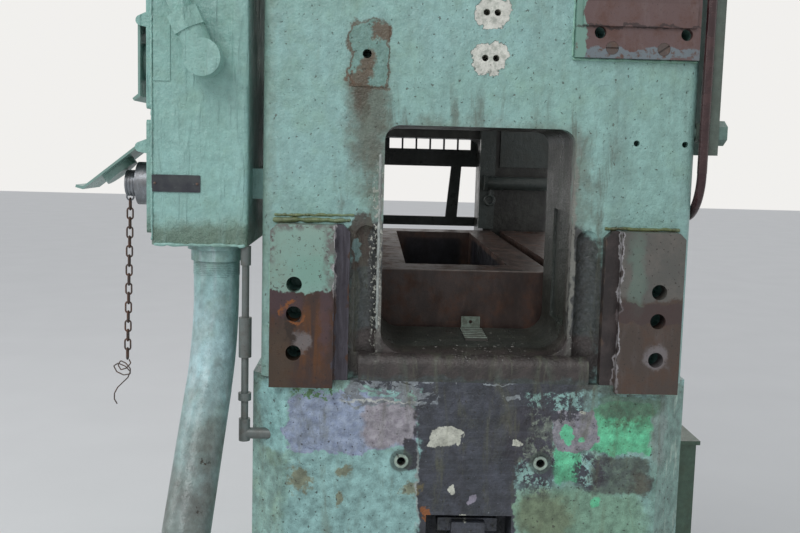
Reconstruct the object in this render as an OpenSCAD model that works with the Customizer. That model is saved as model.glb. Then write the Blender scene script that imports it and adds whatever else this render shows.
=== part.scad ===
// Mechanical stamping press: a two-point, tie-rod frame, straight-side press.
// Millimetres. +Z is up, X runs along the strip (the feed end is at +X), the operator stands at -Y.
// The origin is the centre of the four foot bolts, on the floor.

/* [Frame] */
// Length of the press over the two uprights
frame_l = 1244; // [1100:1:1400]
// Thickness of each upright along the strip
upright_t = 200; // [160:1:260]
// Depth of each upright, front to back
upright_d = 560; // [500:1:640]
// Radius of the upright's vertical corners
upright_r = 13; // [5:1:25]
// Height of the joint between the uprights and the crown
crown_z = 1700; // [1650:1:1800]
// Height of the crown casting
crown_h = 560; // [520:1:640]
// How far the crown's ends stand out past the uprights
crown_step = 18; // [4:1:60]
// How far the crown's front and rear stand out past the uprights
crown_side = 20; // [4:1:60]
// Radius of the crown's vertical corners
crown_r = 30; // [10:1:50]
// Thickness of the crown's end walls, round the main bearings
crown_wall = 200; // [170:1:230]
// Thickness of the crown's front and rear walls
crown_side_wall = 72; // [40:1:80]
// Height of the crown's access openings
access_h = 360; // [300:1:380]

/* [Bed] */
// Height of the joint between the bed and the uprights
joint_z = 780; // [760:1:784]
// Height of the bed's machined seat for the bolster
seat_z = 790; // [785:1:800]
// How far the bed's ends stand out past the uprights
bed_step = 15; // [4:1:40]
// How far the bed's front and rear stand out past the uprights
bed_side = 12; // [4:1:40]
// Chamfer on the bed's vertical corners
bed_corner = 44; // [20:1:60]
// Thickness of the foot lugs
foot_t = 45; // [30:1:60]
// Radius of the foot bolt holes
foot_hole_r = 15; // [10:0.5:20]
// Distance of the foot bolts in from the bed's ends
foot_inset = 77; // [76:1:150]
// Distance of the foot bolts out from the bed's front and rear
foot_out = 46; // [36:1:60]
// Width of each foot lug
foot_w = 150; // [100:1:150]
// Distance of the end bosses from the press's centre plane
boss_y = 92; // [70:1:120]
// Height of the end bosses
boss_z = 673.5; // [640:0.5:700]
// Radius of the end bosses' tapped holes
boss_hole_r = 5; // [3:0.5:7]
// Width of the recess in each end of the bed
recess_w = 114; // [80:1:130]
// Height of the recess's lower edge
recess_z = 430; // [380:1:460]
// Height of the recess
recess_h = 170; // [120:1:190]
// Depth of the recess
recess_t = 60; // [40:1:70]
// Height of the slug chute's floor
chute_z = 140; // [100:1:180]
// Height of the slug chute
chute_h = 280; // [200:1:300]
// Thickness of the bed's front and rear walls
bed_wall = 52; // [40:1:60]

/* [Window] */
// Width of the strip window through each upright
window_w = 246; // [200:1:280]
// Height of the window's sill
window_z = 815; // [806:0.5:825]
// Height of the window's opening
window_h = 296.5; // [220:0.5:330]
// Radius of the window's upper corners
window_r_top = 20; // [5:1:40]
// Radius of the window's lower corners
window_r_low = 28; // [10:1:40]
// How far the sill's nose reaches past the window on each side
sill_side = 28; // [10:1:34]
// Radius of the sill's outer lip
sill_lip = 15; // [8:1:18]
// Radius of the scooped channel beside each jamb
scoop_r = 17; // [10:1:19]
// How far the scooped channel's axis stands out of the end face
scoop_out = 9; // [6:0.5:12]
// Width of the rib between the scooped channel and the window
scoop_rib = 4; // [3:0.5:8]
// Length of the worn slot in each jamb of the feed window
jamb_slot_l = 102; // [80:1:120]
// Height of the worn slot
jamb_slot_h = 155; // [120:1:200]
// Depth of the worn slot
jamb_slot_t = 4; // [2:0.5:6]

/* [Die space] */
// Height of the bolster's working face above the floor
bolster_z = 900; // [880:1:940]
// Gap between each end of the bolster and the upright
bolster_gap = 22; // [5:1:40]
// How far the bolster's front and rear stay in from the uprights'
bolster_side = 10; // [0:1:30]
// Length of the bolster left at each end of the die opening
die_edge = 75; // [60:1:110]
// Width of the die opening through the bolster
die_w = 165; // [120:1:200]
// Shut height: bolster face to slide face at the bottom of the stroke
shut_h = 300; // [290:1:330]
// Stroke of the slide
stroke = 50; // [25:1:52]
// Radius of the bolster's bolts
bolster_bolt_r = 12; // [8:1:14]
// Distance of the bolster's bolts from its ends
bolt_end = 35; // [28:1:40]
// Distance of the bolster's bolts from its front and rear
bolt_side = 45; // [30:1:60]
// Distance of the clamping slots from the press's centre plane
slot_y = 150; // [130:1:160]
// Width of the clamping slots' necks
slot_w = 22; // [18:1:28]
// Width of the clamping slots' heads
slot_head_w = 38; // [30:1:42]
// Depth of the clamping slots
slot_t = 42; // [36:1:48]

/* [Slide] */
// Room between the slide's top and the crown, with the slide down
slide_room = 120; // [100:1:140]
// Gap between the slide's guide ears and the upright
ear_gap = 27; // [20:1:32]
// How far the guide ears stand out of the slide's ends
ear_out = 60; // [50:1:70]
// How far the guides stay in from the uprights' front and rear
guide_in = 130; // [125:1:150]
// How far the slide's front and rear stay in from the uprights'
slide_side = 50; // [40:1:70]
// Running clearance between the slide and its guides
guide_gap = 0.06; // [0.03:0.01:0.09]
// Distance of each connection in from the slide's end
point_inset = 135; // [125:1:145]
// Length of the slide's pocket for each rod
pocket_l = 150; // [140:1:160]
// Width of the slide's pockets, front to back
pocket_w = 220; // [200:1:240]
// Room between the gibs and the crown
gib_room = 45; // [20:1:60]
// Height of the gibs' lower ends
gib_z = 1225; // [1210:1:1240]

/* [Crank] */
// Height of the crankshaft's axis above the crown's underside
crank_up = 310; // [300:1:330]
// Radius of the main journals
journal_r = 60; // [50:1:65]
// Radius of the eccentrics
throw_r = 90; // [88:1:100]
// Length of each eccentric
throw_l = 100; // [80:1:120]
// Running clearance of the crank's bearings
oil_gap = 0.05; // [0.02:0.01:0.09]
// Depth of the wrist pins under the slide's top
wrist_in = 75; // [60:1:90]
// Wall of the rods' straps round the eccentrics
strap_t = 28; // [22:1:30]
// Distance of the rods' cap bolts from their axis
cap_bolt_y = 134; // [130:1:140]
// Radius of the wrist pins
wrist_r = 32; // [28:1:36]
// Wall of the main bearings
bearing_wall = 15; // [10:1:20]

/* [Tie rods] */
// Radius of the tie rods
tie_r = 30; // [24:1:34]
// Distance of the tie rods in from the uprights' end faces
tie_end = 97; // [85:1:110]
// Distance of the tie rods in from the uprights' front and rear
tie_side = 75; // [65:1:90]
// Height across the flats of the tie rod nuts
tie_nut_af = 95; // [85:1:110]
// Height of the tie rod nuts
tie_nut_h = 62; // [50:1:70]

/* [Drive] */
// Radius of the flywheel
wheel_r = 390; // [340:1:420]
// Width of the flywheel's rim
wheel_w = 120; // [90:1:130]
// Gap between the crown's end and the flywheel
wheel_gap = 60; // [50:1:80]
// Radius of the motor's sheave
sheave_r = 75; // [60:1:90]
// Radius of the motor's frame
motor_r = 117; // [100:1:140]
// Length of the motor's frame
motor_l = 260; // [240:1:300]
// Distance of the motor's axis behind the crank
motor_y = 380; // [360:1:420]
// Clearance between the motor and its plate
motor_gap = 4; // [3:1:20]
// Number of drive belts side by side
belt_n = 3; // [2:1:4]
// Pitch of the drive belts
belt_pitch = 22; // [18:1:28]
// Gap between the flywheel's rim and its guard
guard_gap = 32; // [20:1:50]

/* [Feed end] */
// Height of the feed pads
pad_h = 211; // [180:1:230]
// Height of the feed pads' lower edge above the floor
pad_z = 771.5; // [765:0.5:780]
// How far the feed pads stand out of the upright
pad_t = 26; // [18:1:32]
// Width of each feed pad's main face
pad_w = 82; // [70:1:90]
// Width of each feed pad's step
pad_step_w = 19; // [12:1:22]
// How much lower the feed pads' steps are than their main faces
pad_step_t = 11; // [6:1:14]
// Distance of the feed pads' bolt holes in from the upright's front and rear
pad_hole_in = 45; // [40:1:55]
// Radius of the feed pads' bolt holes
pad_hole_r = 10; // [6:0.5:12]
// Pitch from the lowest feed bolt hole to the middle one
pad_pitch_low = 50.8; // [40:0.1:60]
// Pitch from the middle feed bolt hole to the top one
pad_pitch_top = 38.1; // [30:0.1:45]
// Height of the lowest feed bolt hole
pad_hole_z = 817; // [805:1:825]
// How far the upper plate stays in from the upright's rear edge
plate_in = 6; // [0:1:20]
// Length of the upper plate
plate_w = 159; // [120:1:160]
// Height of the upper plate's lower edge
plate_z = 1202.5; // [1190:0.5:1220]
// Height of the upper plate
plate_h = 127.5; // [100:0.5:150]
// Thickness of the upper plate
plate_t = 9; // [6:0.5:12]
// Height of the upper plate's bolt holes
plate_hole_z = 1234; // [1225:1:1238]
// Radius of the upper plate's bolt holes
plate_hole_r = 7.5; // [5:0.5:9]
// Height of the upper plate's screws
plate_screw_z = 1215; // [1212:0.5:1218]
// Distance of the outer small hole over the rear pad from the upright's edge
edge_hole_in = 15; // [12:1:20]
// Distance between the two small holes
edge_pitch = 63; // [50:1:70]
// Places of the removed plate's middle, across the press and up
scar_y = -145; // [-160:1:-130]
scar_z = 1199.5; // [1180:0.5:1220]
// Places of the two bare patches' middles, across the press
pair_y = 9; // [0:1:20]
// Height of the upper pair of tapped holes
pair_high_z = 1256; // [1240:1:1270]
// Height of the lower pair of tapped holes
pair_low_z = 1199; // [1180:1:1210]
// Pitch of each pair of tapped holes
pair_pitch = 14; // [10:1:20]

/* [Electrical] */
// Width of the junction box, front to back
box_w = 124; // [100:1:140]
// Height of the junction box
box_h = 470; // [400:1:560]
// Depth of the junction box along the strip
box_x = 250; // [180:1:300]
// Height of the junction box's lower face
box_z = 950; // [930:1:970]
// Gap between the junction box and the upright
box_gap = 18; // [10:1:30]
// Thickness of the junction box's sheet
box_t = 3; // [2:0.5:4]
// Outer radius of the large conduit
pipe_r = 30.15; // [24:0.05:33]
// Distance of the large conduit in from the end face
pipe_in = 44; // [36:1:60]
// Bend radius of the large conduit
pipe_bend_r = 260; // [200:5:300]
// Angle of the large conduit's two bends
pipe_bend_a = 30; // [20:1:35]
// Length of the leaning run between the bends
pipe_run = 187; // [150:1:220]
// Outer radius of the small conduit
tube_r = 13.35; // [10:0.05:17]
// Height of the elbow and of the upper receptacle above the box's lower face
elbow_up = 236; // [200:1:260]
// How far under the crown the small conduit turns in
turn_room = 190; // [150:1:195]
// Lean of the elbow towards the front
elbow_a = 25; // [15:1:35]
// Outer radius of the plug-in receptacle
recept_r = 28.5; // [22:0.5:30]
// Distance of the receptacles in from the box's end face
lid_in = 62; // [55:1:80]
// Angle at which the lower lid rests on its cap
lid_open = 51.5; // [0:0.5:60]
// Height of the lower receptacle above the box's lower face
cap_up = 76.5; // [70:0.5:90]
// Number of chain links
chain_n = 17; // [10:1:18]
// Pitch of the chain links
chain_pitch = 12.8; // [11:0.1:14]
// Thickness of the chain's wire
chain_wire = 2.4; // [2:0.1:3]
// Width of the chain's links
chain_w = 10; // [8:0.5:12]

/* [Rear edge] */
// Gap between the upright and the bar on its rear face
bar_gap = 13.4; // [12:0.1:20]
// Thickness of the bar
bar_t = 14; // [8:1:18]
// Width of the bar
bar_w = 60; // [40:1:70]
// Height of the bar's lower end
bar_z = 1083; // [1040:1:1095]
// Length of the bar
bar_h = 317; // [280:1:400]
// Radius of the hose
hose_r = 6.3; // [4:0.1:6.5]
// Radius of the hose's bend
hose_bend_r = 60; // [50:1:65]
// Height at which the hose goes into the upright
hose_z = 1000; // [980:1:1010]
// Height of the air line's port in the bed
air_z = 700; // [690:1:720]

/* [Hidden] */
$fn = 48;
// Clearance of bolts in their holes, and the radius step between pipe runs and bends
bolt_gap = 0.3;
lap = 0.25;
// Frame
half_l = frame_l / 2;
half_d = upright_d / 2;
in_x = half_l - upright_t;
ux = half_l - upright_t / 2;
bed_x = half_l + bed_step;
bed_y = half_d + bed_side;
foot_x = bed_x - foot_inset;
foot_y = bed_y + foot_out;
crown_x = half_l + crown_step;
crown_y = half_d + crown_side;
crown_top = crown_z + crown_h;
cav_x = crown_x - crown_wall;
cav_y = crown_y - crown_side_wall;
access_x = cav_x - 70;
access_z = crown_z + 110;
cover_x = access_x + 40;
cover_z = access_z - 35;
cover_h = access_h + 70;
cover_t = 8;
cover_bolt_x = access_x + 15;
cover_bolt_r = 5;
tx = half_l - tie_end;
ty = half_d - tie_side;
tie_bore = tie_r + 3;
washer_t = 12;
// Window
win_top = window_z + window_h;
edge_hole_y = half_d - edge_hole_in;
scoop_z = pad_z + pad_h + 2;
jamb_slot_z = window_z + 33;
// Die space and slide
bolster_l = 2 * (in_x - bolster_gap);
bolster_d = upright_d - 2 * bolster_side;
bolster_t = bolster_z - seat_z;
die_l = bolster_l - 2 * die_edge;
slide_z = bolster_z + shut_h;
slide_top = crown_z - slide_room;
ear_w = 2 * (half_d - guide_in);
ear_l = 2 * (in_x - ear_gap);
slide_l = ear_l - 2 * ear_out;
slide_d = upright_d - 2 * slide_side;
bolt_head_r = 1.5 * bolster_bolt_r;
bolt_sink = 26;
gib_h = crown_z - gib_room - gib_z;
gib_screw_r = 8;
gib_flange_w = 108;
gib_screw_y = ear_w / 2 + guide_gap + 82;
gib_flange_t = 26;
// Crank
ecc = stroke / 2;
crank_z = crown_z + crank_up;
pin_z = crank_z - ecc;
wrist_z = slide_top - wrist_in;
px = slide_l / 2 - point_inset;
bear_r = journal_r + bearing_wall;
rod_w = throw_l - 4;
cap_bolt_r = 10;
cap_lug_y = cap_bolt_y - 2;
cap_lug_w = 44;
eye_wall = 26;
// Drive
wheel_x1 = -crown_x - wheel_gap;
wheel_x0 = wheel_x1 - wheel_w;
wheel_x = (wheel_x0 + wheel_x1) / 2;
fin = 9;
plate_h0 = 18;
motor_z = crown_top + plate_h0 + motor_r + fin + motor_gap;
motor_x1 = -crown_x + 300;
motor_x0 = motor_x1 - motor_l;
motor_end = 28;
motor_bolt_y = 100;
motor_bolt_x = [motor_x0 + 50, motor_x1 - 60];
guard_x0 = wheel_x0 - 85;
guard_l = 200;
guard_sheet = 4;
guard_r = guard_gap + guard_sheet;
// Feed end
pad_hole_y = half_d - pad_hole_in;
pad_hole_m = pad_hole_z + pad_pitch_low;
pad_hole_t = pad_hole_m + pad_pitch_top;
pad_y = pad_hole_y - 51;
plate_y = half_d - plate_in - plate_w;
plate_hole_y = [plate_y + 31, plate_y + 141.5];
plate_screw_r = 5;
plate_screws = [[plate_y + 47, 0], [plate_y + 113, 35]];
tap_t = 30;
// Electrical
box_y1 = -half_d - box_gap;
box_y0 = box_y1 - box_w;
box_x1 = half_l;
box_x0 = box_x1 - box_x;
pipe_x = half_l - pipe_in;
pipe_y = box_y1 - 46;
elbow_y = box_y1 - 51.5;
elbow_z = box_z + elbow_up;
elbow_x = box_x1 + 31;
lid_x = half_l - lid_in;
cap_z = box_z + cap_up;
eye_z = cap_z - 18.5;
well_r = 22;
hinge_high = [box_y0 - 15, elbow_z + 49];
hinge_low = [box_y0 - 16.6, cap_z + 48.5];
cap_y = box_y0 - 29;
air_x = half_l - 10;
air_y = -half_d - 21;
// Rear edge
bar_x = half_l + 2;
bar_bolt_x = half_l - 14;
bar_bolt_z = bar_z + 29;
bar_bolt_r = 8;

// Which sub-part to draw

// A flat rectangle with its four corners rounded, exact arcs
module plate2d(w, h, r) {
    square([w - 2 * r, h], center = true);
    square([w, h - 2 * r], center = true);
    for (i = [-1, 1])
        for (j = [-1, 1])
            translate([i * (w / 2 - r), j * (h / 2 - r)]) circle(r);
}

// A flat rectangle with its four corners cut off at 45 degrees
module chamfered2d(w, h, c) {
    polygon([
        [-w / 2 + c, -h / 2], [w / 2 - c, -h / 2], [w / 2, -h / 2 + c], [w / 2, h / 2 - c],
        [w / 2 - c, h / 2], [-w / 2 + c, h / 2], [-w / 2, h / 2 - c], [-w / 2, -h / 2 + c],
    ]);
}

// A box given by its two corners
module block(a, b) {
    translate(a) cube(b - a);
}

// Cylinders along X, Y and Z, from a start point
module rod_x(p, r, l) {
    translate(p) rotate([0, 90, 0]) cylinder(r = r, h = l);
}
module rod_y(p, r, l) {
    translate(p) rotate([-90, 0, 0]) cylinder(r = r, h = l);
}
module rod_z(p, r, l) {
    translate(p) cylinder(r = r, h = l);
}

// A profile drawn in Y (right) and Z (up), swept along +X
module sweep_x(x, l) {
    translate([x, 0, 0]) rotate([90, 0, 90]) linear_extrude(l) children();
}
// A profile drawn in X (right) and Z (up), swept along +Y
module sweep_y(y, l) {
    translate([0, y + l, 0]) rotate([90, 0, 0]) linear_extrude(l) children();
}

// Hexagonal head or nut along Z: across flats, height
module hex_z(p, af, h) {
    translate(p) cylinder(r = af / sqrt(3), h = h, $fn = 6);
}

// A bolt along Z with its head on top: p is the seat, the shank goes down
module bolt_z(p, r, shank, af, head) {
    union() {
        rod_z(p - [0, 0, shank], r, shank);
        hex_z(p, af, head);
    }
}

// Both ends or both sides of the press
module both_x() {
    children();
    mirror([1, 0, 0]) children();
}
module both_y() {
    children();
    mirror([0, 1, 0]) children();
}
module four() {
    both_x() both_y() children();
}

// Torus segment from angle 0 to a, pipe radius r, bend radius br
module bend(br, r, a) {
    rotate_extrude(angle = a) translate([br, 0]) circle(r, $fn = 32);
}

// The window's outline, in Y and Z
module window2d() {
    w = window_w / 2;
    rt = window_r_top;
    rl = window_r_low;
    translate([-w + rt, win_top - rt]) circle(rt);
    translate([w - rt, win_top - rt]) circle(rt);
    translate([-w + rl, window_z + rl]) circle(rl);
    translate([w - rl, window_z + rl]) circle(rl);
    translate([-w + rt, win_top - 2 * rt]) square([window_w - 2 * rt, 2 * rt]);
    translate([-w, window_z + rl]) square([window_w, window_h - rl - rt]);
    translate([-w + rl, window_z]) square([window_w - 2 * rl, 2 * rl]);
}

// Frame

// One cast upright: tie rod cores in its four corners, the strip window over its sill's nose
module upright(feed) {
    difference() {
        union() {
            translate([ux, 0, joint_z]) linear_extrude(crown_z - joint_z)
                plate2d(upright_t, upright_d, upright_r);
            sill_nose();
        }
        sweep_x(in_x - 1, upright_t + bed_step + 2) window2d();
        both_y() scoop();
        four_cores();
        // feed bolts' tapped holes behind the pads
        if (feed)
            for (z = [pad_hole_z, pad_hole_m, pad_hole_t])
                both_y() rod_x([half_l - 40, pad_hole_y, z], pad_hole_r, 60);
    }
}

// Nose of the sill, standing out to the bed's end, with a rounded lip
module sill_nose() {
    h = window_z - joint_z;
    x = half_l - 30;
    sweep_y(-window_w / 2 - sill_side, window_w + 2 * sill_side) {
        translate([x, joint_z]) square([bed_x - x - sill_lip, h]);
        translate([x, joint_z]) square([bed_x - x, h - sill_lip]);
        translate([bed_x - sill_lip, window_z - sill_lip]) circle(sill_lip);
    }
}

// Scooped channel beside a jamb, with a round end at the pad's top
module scoop() {
    translate([half_l + scoop_out, window_w / 2 + scoop_r + scoop_rib, window_z])
        rotate_extrude() {
            square([scoop_r, scoop_z - window_z - scoop_r]);
            translate([0, scoop_z - window_z - scoop_r]) intersection() {
                circle(scoop_r);
                translate([0, -1]) square([scoop_r + 1, scoop_r + 2]);
            }
        }
}

// Cores round the tie rods
module four_cores() {
    both_y() rod_z([tx, ty, joint_z - 1], tie_bore, crown_z - joint_z + 2);
}

// Bed: chamfered casting with the chute, the bolster's seat, end recess with its lug, four foot lugs
module bed() {
    boss_r = 2 * boss_hole_r;
    chute_top = chute_z + chute_h;
    end_core_x0 = die_l / 2 + 50;
    end_core_x1 = bed_x - 77;
    color([0.36, 0.56, 0.48]) difference() {
        union() {
            translate([0, 0, foot_t]) linear_extrude(joint_z - foot_t)
                chamfered2d(bed_l(), bed_d(), bed_corner);
            block([-in_x + 6, -half_d, joint_z - 2], [in_x - 6, half_d, seat_z]);
            four() foot_lug();
            // bosses of the feed end's face
            both_y() rod_x([bed_x - 4, boss_y, boss_z], boss_r, 6);
        }
        // end recess with its cast lug
        both_x() difference() {
            block([bed_x - recess_t, -recess_w / 2, recess_z],
                [bed_x + 1, recess_w / 2, recess_z + recess_h]);
            end_lug();
        }
        both_y() rod_x([bed_x - tap_t, boss_y, boss_z], boss_hole_r, tap_t + 10);
        // die drop, and the slug chute's way out through the front
        block([-die_l / 2, -die_w / 2, chute_top - 170], [die_l / 2, die_w / 2, seat_z + 1]);
        block([-die_l / 2, -bed_y - 1, chute_z], [die_l / 2, bed_y - bed_wall, chute_top]);
        // cored ends, open through the bed's underside
        both_x() block([end_core_x0, -150, foot_t - 1], [end_core_x1, 150, seat_z - 90]);
        // port of the air line
        rod_y([air_x, -bed_y - 1, air_z], 7.5 + bolt_gap, 40);
        four() rod_z([tx, ty, foot_t - 1], tie_bore, joint_z);
        four() rod_z([tx, ty, foot_t - 1], tie_nut_af / 2 + 14, tie_nut_h + 33);
        four() rod_z([foot_x, foot_y, -1], foot_hole_r, foot_t + 2);
        bolster_holes();
    }
}

// The bed's length and depth
function bed_l() = 2 * bed_x;
function bed_d() = 2 * bed_y;

// One foot lug with its stiffening ribs
module foot_lug() {
    block([foot_x - foot_w / 2, bed_y - 60, 0], [foot_x + foot_w / 2, foot_y + 42, foot_t]);
    for (i = [-1, 1])
        translate([foot_x + i * (foot_w / 2 - 10) - 10, bed_y - 2, foot_t - 1])
            rotate([90, 0, 90]) linear_extrude(20)
                polygon([[0, 0], [foot_out + 30, 0], [0, 130]]);
}

// Cast lug in the bed's end recess, wider at its foot
module end_lug() {
    x = bed_x - recess_t - 2;
    top = recess_z + recess_h - 12;
    sweep_x(x, 56) polygon([[-30, recess_z - 1], [30, recess_z - 1], [22, top], [-22, top]]);
    block([x, -40, top - 16], [x + 44, 40, top + 2]);
}

// The six places of the bolster's bolts
module bolster_places() {
    for (i = [-1, 0, 1])
        for (j = [-1, 1])
            translate([i * (bolster_l / 2 - bolt_end), j * (bolster_d / 2 - bolt_side), 0]) children();
}

module bolster_holes() {
    bolster_places() rod_z([0, 0, seat_z - 60], bolster_bolt_r + bolt_gap, bolster_t + 90);
}

module right_upright() {
    color([0.42, 0.62, 0.54]) difference() {
        union() {
            upright(true);
            // remains of a removed plate round a tapped hole
            sweep_x(half_l - 1, 2.2) translate([scar_y, scar_z]) plate2d(48, 81, 3);
            // port for the hose on the rear face
            block([half_l - 154, half_d - 1, hose_z - 15], [half_l - 138, half_d + 20, hose_z + 15]);
        }
        rod_x([half_l - 40, scar_y - 3.4, scar_z + 0.5], 5.8, 60);
        for (z = [pair_low_z, pair_high_z])
            for (i = [-1, 1])
                rod_x([half_l - tap_t, pair_y + i * pair_pitch / 2, z], 4.25, tap_t + 10);
        for (y = [edge_hole_y - edge_pitch, edge_hole_y])
            rod_x([half_l - tap_t, y, win_top - 15.5], 4, tap_t + 10);
        for (p = plate_screws)
            rod_x([half_l - 26, p.x, plate_screw_z], plate_screw_r + bolt_gap, 40);
        rod_y([bar_bolt_x, half_d - tap_t, bar_bolt_z], bar_bolt_r + bolt_gap, tap_t + 10);
        for (y = plate_hole_y)
            rod_x([half_l - 40, y, plate_hole_z], plate_hole_r, 60);
        // slots worn in the jambs
        both_y() block([half_l - tap_t - jamb_slot_l, window_w / 2 - 1, jamb_slot_z],
            [half_l - tap_t, window_w / 2 + jamb_slot_t, jamb_slot_z + jamb_slot_h]);
    }
}

module left_upright() {
    color([0.42, 0.62, 0.54]) mirror([1, 0, 0]) upright(false);
}

// Crown: hollow casting with bearing walls, access openings front and rear, rod slots in its floor
module crown() {
    color([0.42, 0.62, 0.54]) difference() {
        translate([0, 0, crown_z]) linear_extrude(crown_h) plate2d(2 * crown_x, 2 * crown_y, crown_r);
        block([-cav_x, -cav_y, crown_z + 45], [cav_x, cav_y, crown_top - 40]);
        block([-access_x, -crown_y - 1, access_z], [access_x, crown_y + 1, access_z + access_h]);
        block([-px - 95, -120, crown_z - 1], [px + 95, 120, crown_z + 50]);
        rod_x([-crown_x - 1, 0, crank_z], bear_r + 0.02, 2 * crown_x + 2);
        four() rod_z([tx, ty, crown_z - 1], tie_bore, crown_h + 2);
        both_y() cover_places() rod_y([0, crown_y - 22, 0], cover_bolt_r + bolt_gap, 40);
        both_x() rod_z([px, 0, crown_top - 45], 18, 60);
    }
}

// Places of a crown cover's bolts
module cover_places() {
    for (x = [-1, -1 / 3, 1 / 3, 1])
        for (z = [cover_z + 20, cover_z + cover_h - 20])
            translate([x * cover_bolt_x, 0, z]) children();
}

// Tie rods through bed, uprights and crown
module tie_rods() {
    color([0.45, 0.43, 0.40]) four() rod_z([tx, ty, foot_t + 15], tie_r, crown_top + 80 - foot_t);
}

module tie_rod_nuts() {
    color([0.32, 0.40, 0.36]) four() union() {
        tie_nut(crown_top + washer_t);
        tie_nut(foot_t + 30);
        difference() {
            rod_z([tx, ty, crown_top], tie_nut_af / 2 + 10, washer_t);
            rod_z([tx, ty, crown_top - 1], tie_r + 0.05, washer_t + 2);
        }
    }
}

module tie_nut(z) {
    difference() {
        hex_z([tx, ty, z], tie_nut_af, tie_nut_h);
        rod_z([tx, ty, z - 1], tie_r + 0.05, tie_nut_h + 2);
    }
}

// Die space

// Bolster plate with its die opening, clamping T slots and bolt holes
module bolster() {
    color([0.30, 0.22, 0.20]) difference() {
        translate([0, 0, seat_z]) linear_extrude(bolster_t) plate2d(bolster_l, bolster_d, 4);
        block([-die_l / 2, -die_w / 2, seat_z - 1], [die_l / 2, die_w / 2, bolster_z + 1]);
        both_y() sweep_x(-bolster_l / 2 - 1, bolster_l + 2)
            translate([slot_y, bolster_z]) mirror([0, 1]) slot2d();
        bolster_holes();
        bolster_places() rod_z([0, 0, bolster_z - bolt_sink], bolt_head_r + 3, bolt_sink + 1);
    }
}

// Outline of a T slot cut upwards into a face at height 0
module slot2d() {
    translate([-slot_w / 2, -1]) square([slot_w, slot_t]);
    translate([-slot_head_w / 2, slot_t - 20]) square([slot_head_w, 20]);
}

module bolster_bolts() {
    color([0.25, 0.24, 0.23]) bolster_places() difference() {
        union() {
            rod_z([0, 0, seat_z - 50], bolster_bolt_r, bolster_t + 50 - bolt_sink);
            rod_z([0, 0, bolster_z - bolt_sink], bolt_head_r, bolt_sink - 3);
        }
        hex_z([0, 0, bolster_z - 15], 17, 20);
    }
}

// Heights of the gibs' screws
function gib_heights() = [for (i = [0:3]) gib_z + 45 + i * (gib_h - 100) / 3];

// One corner gib: flange on the upright, bearing bar against the slide's ear
module gib() {
    x0 = slide_l / 2 + guide_gap;
    y0 = ear_w / 2 + guide_gap;
    color([0.40, 0.41, 0.38]) difference() {
        translate([0, 0, gib_z]) linear_extrude(gib_h)
            polygon([
                [in_x, y0], [in_x, y0 + gib_flange_w], [in_x - gib_flange_t, y0 + gib_flange_w],
                [in_x - gib_flange_t, y0 + 56], [in_x - gib_flange_t - 8, y0 + 48], [x0, y0 + 48],
                [x0, y0],
            ]);
        for (z = gib_heights())
            rod_x([in_x - 40, gib_screw_y, z], gib_screw_r + bolt_gap, 60);
    }
}

module gib_front_right() {
    mirror([0, 1, 0]) gib();
}
module gib_rear_right() {
    gib();
}
module gib_front_left() {
    mirror([1, 0, 0]) mirror([0, 1, 0]) gib();
}
module gib_rear_left() {
    mirror([1, 0, 0]) gib();
}

// Socket screws of the four gibs
module gib_bolts() {
    head = 2 * gib_screw_r;
    color([0.22, 0.22, 0.21]) four() for (z = gib_heights())
        translate([in_x - gib_flange_t, gib_screw_y, z]) difference() {
            union() {
                rod_x([0, 0, 0], gib_screw_r, gib_flange_t);
                rod_x([-head, 0, 0], 1.5 * gib_screw_r, head);
            }
            rod_x([-head - 1, 0, 0], 7, 9, $fn = 6);
        }
}

// Slide: box casting with guide ears, two pockets for the rods, T slots underneath
module slide() {
    foot = wrist_z - wrist_r - eye_wall - stroke - 12;
    color([0.38, 0.52, 0.46]) difference() {
        union() {
            block([-slide_l / 2, -slide_d / 2, slide_z], [slide_l / 2, slide_d / 2, slide_top]);
            block([-ear_l / 2, -ear_w / 2, slide_z + 20], [ear_l / 2, ear_w / 2, slide_top - 10]);
        }
        both_x() block([px - pocket_l / 2, -pocket_w / 2, foot],
            [px + pocket_l / 2, pocket_w / 2, slide_top + 1]);
        block([-px + pocket_l / 2 + 15, -pocket_w / 2, slide_top - 230],
            [px - pocket_l / 2 - 15, pocket_w / 2, slide_top + 1]);
        both_y() sweep_x(-bolster_l / 2, bolster_l) translate([slot_y, slide_z]) slot2d();
        four() rod_z([slide_l / 2 - 85, slide_d / 2 - 30, slide_top - 60], 9, 70);
    }
}

// Crank train

// Crankshaft: two main journals, two eccentrics, flywheel end to the left
module crankshaft() {
    end = wheel_x0 - 60;
    color([0.50, 0.49, 0.46]) union() {
        rod_x([end, 0, crank_z], journal_r, crown_x + 55 - end);
        for (i = [-1, 1]) {
            rod_x([i * px - throw_l / 2, 0, pin_z], throw_r, throw_l);
            for (j = [-1, 1])
                rod_x([i * px + j * (throw_l / 2 + 7) - 7, 0, crank_z - 10], throw_r + 14, 14);
            rod_x([i * (cav_x - 12) - 6, 0, crank_z], bear_r + 7, 12);
        }
    }
}

// Flanged bronze bushes in the crown's end walls
module main_bearings() {
    color([0.66, 0.50, 0.28]) both_x() difference() {
        union() {
            rod_x([cav_x, 0, crank_z], bear_r, crown_wall);
            rod_x([crown_x, 0, crank_z], bear_r + 22, 16);
        }
        rod_x([cav_x - 1, 0, crank_z], journal_r + oil_gap, crown_wall + 100);
    }
}

// The two lugs of a rod's strap, from height z up
module cap_lugs(x, z, h) {
    for (i = [-1, 1])
        block([x - rod_w / 2, i * cap_lug_y - cap_lug_w / 2, z],
            [x + rod_w / 2, i * cap_lug_y + cap_lug_w / 2, z + h]);
}

// Holes for a rod's cap bolts, from height z up
module cap_holes(x, z, h) {
    for (i = [-1, 1])
        rod_z([x, i * cap_bolt_y, z], cap_bolt_r + bolt_gap, h);
}

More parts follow.
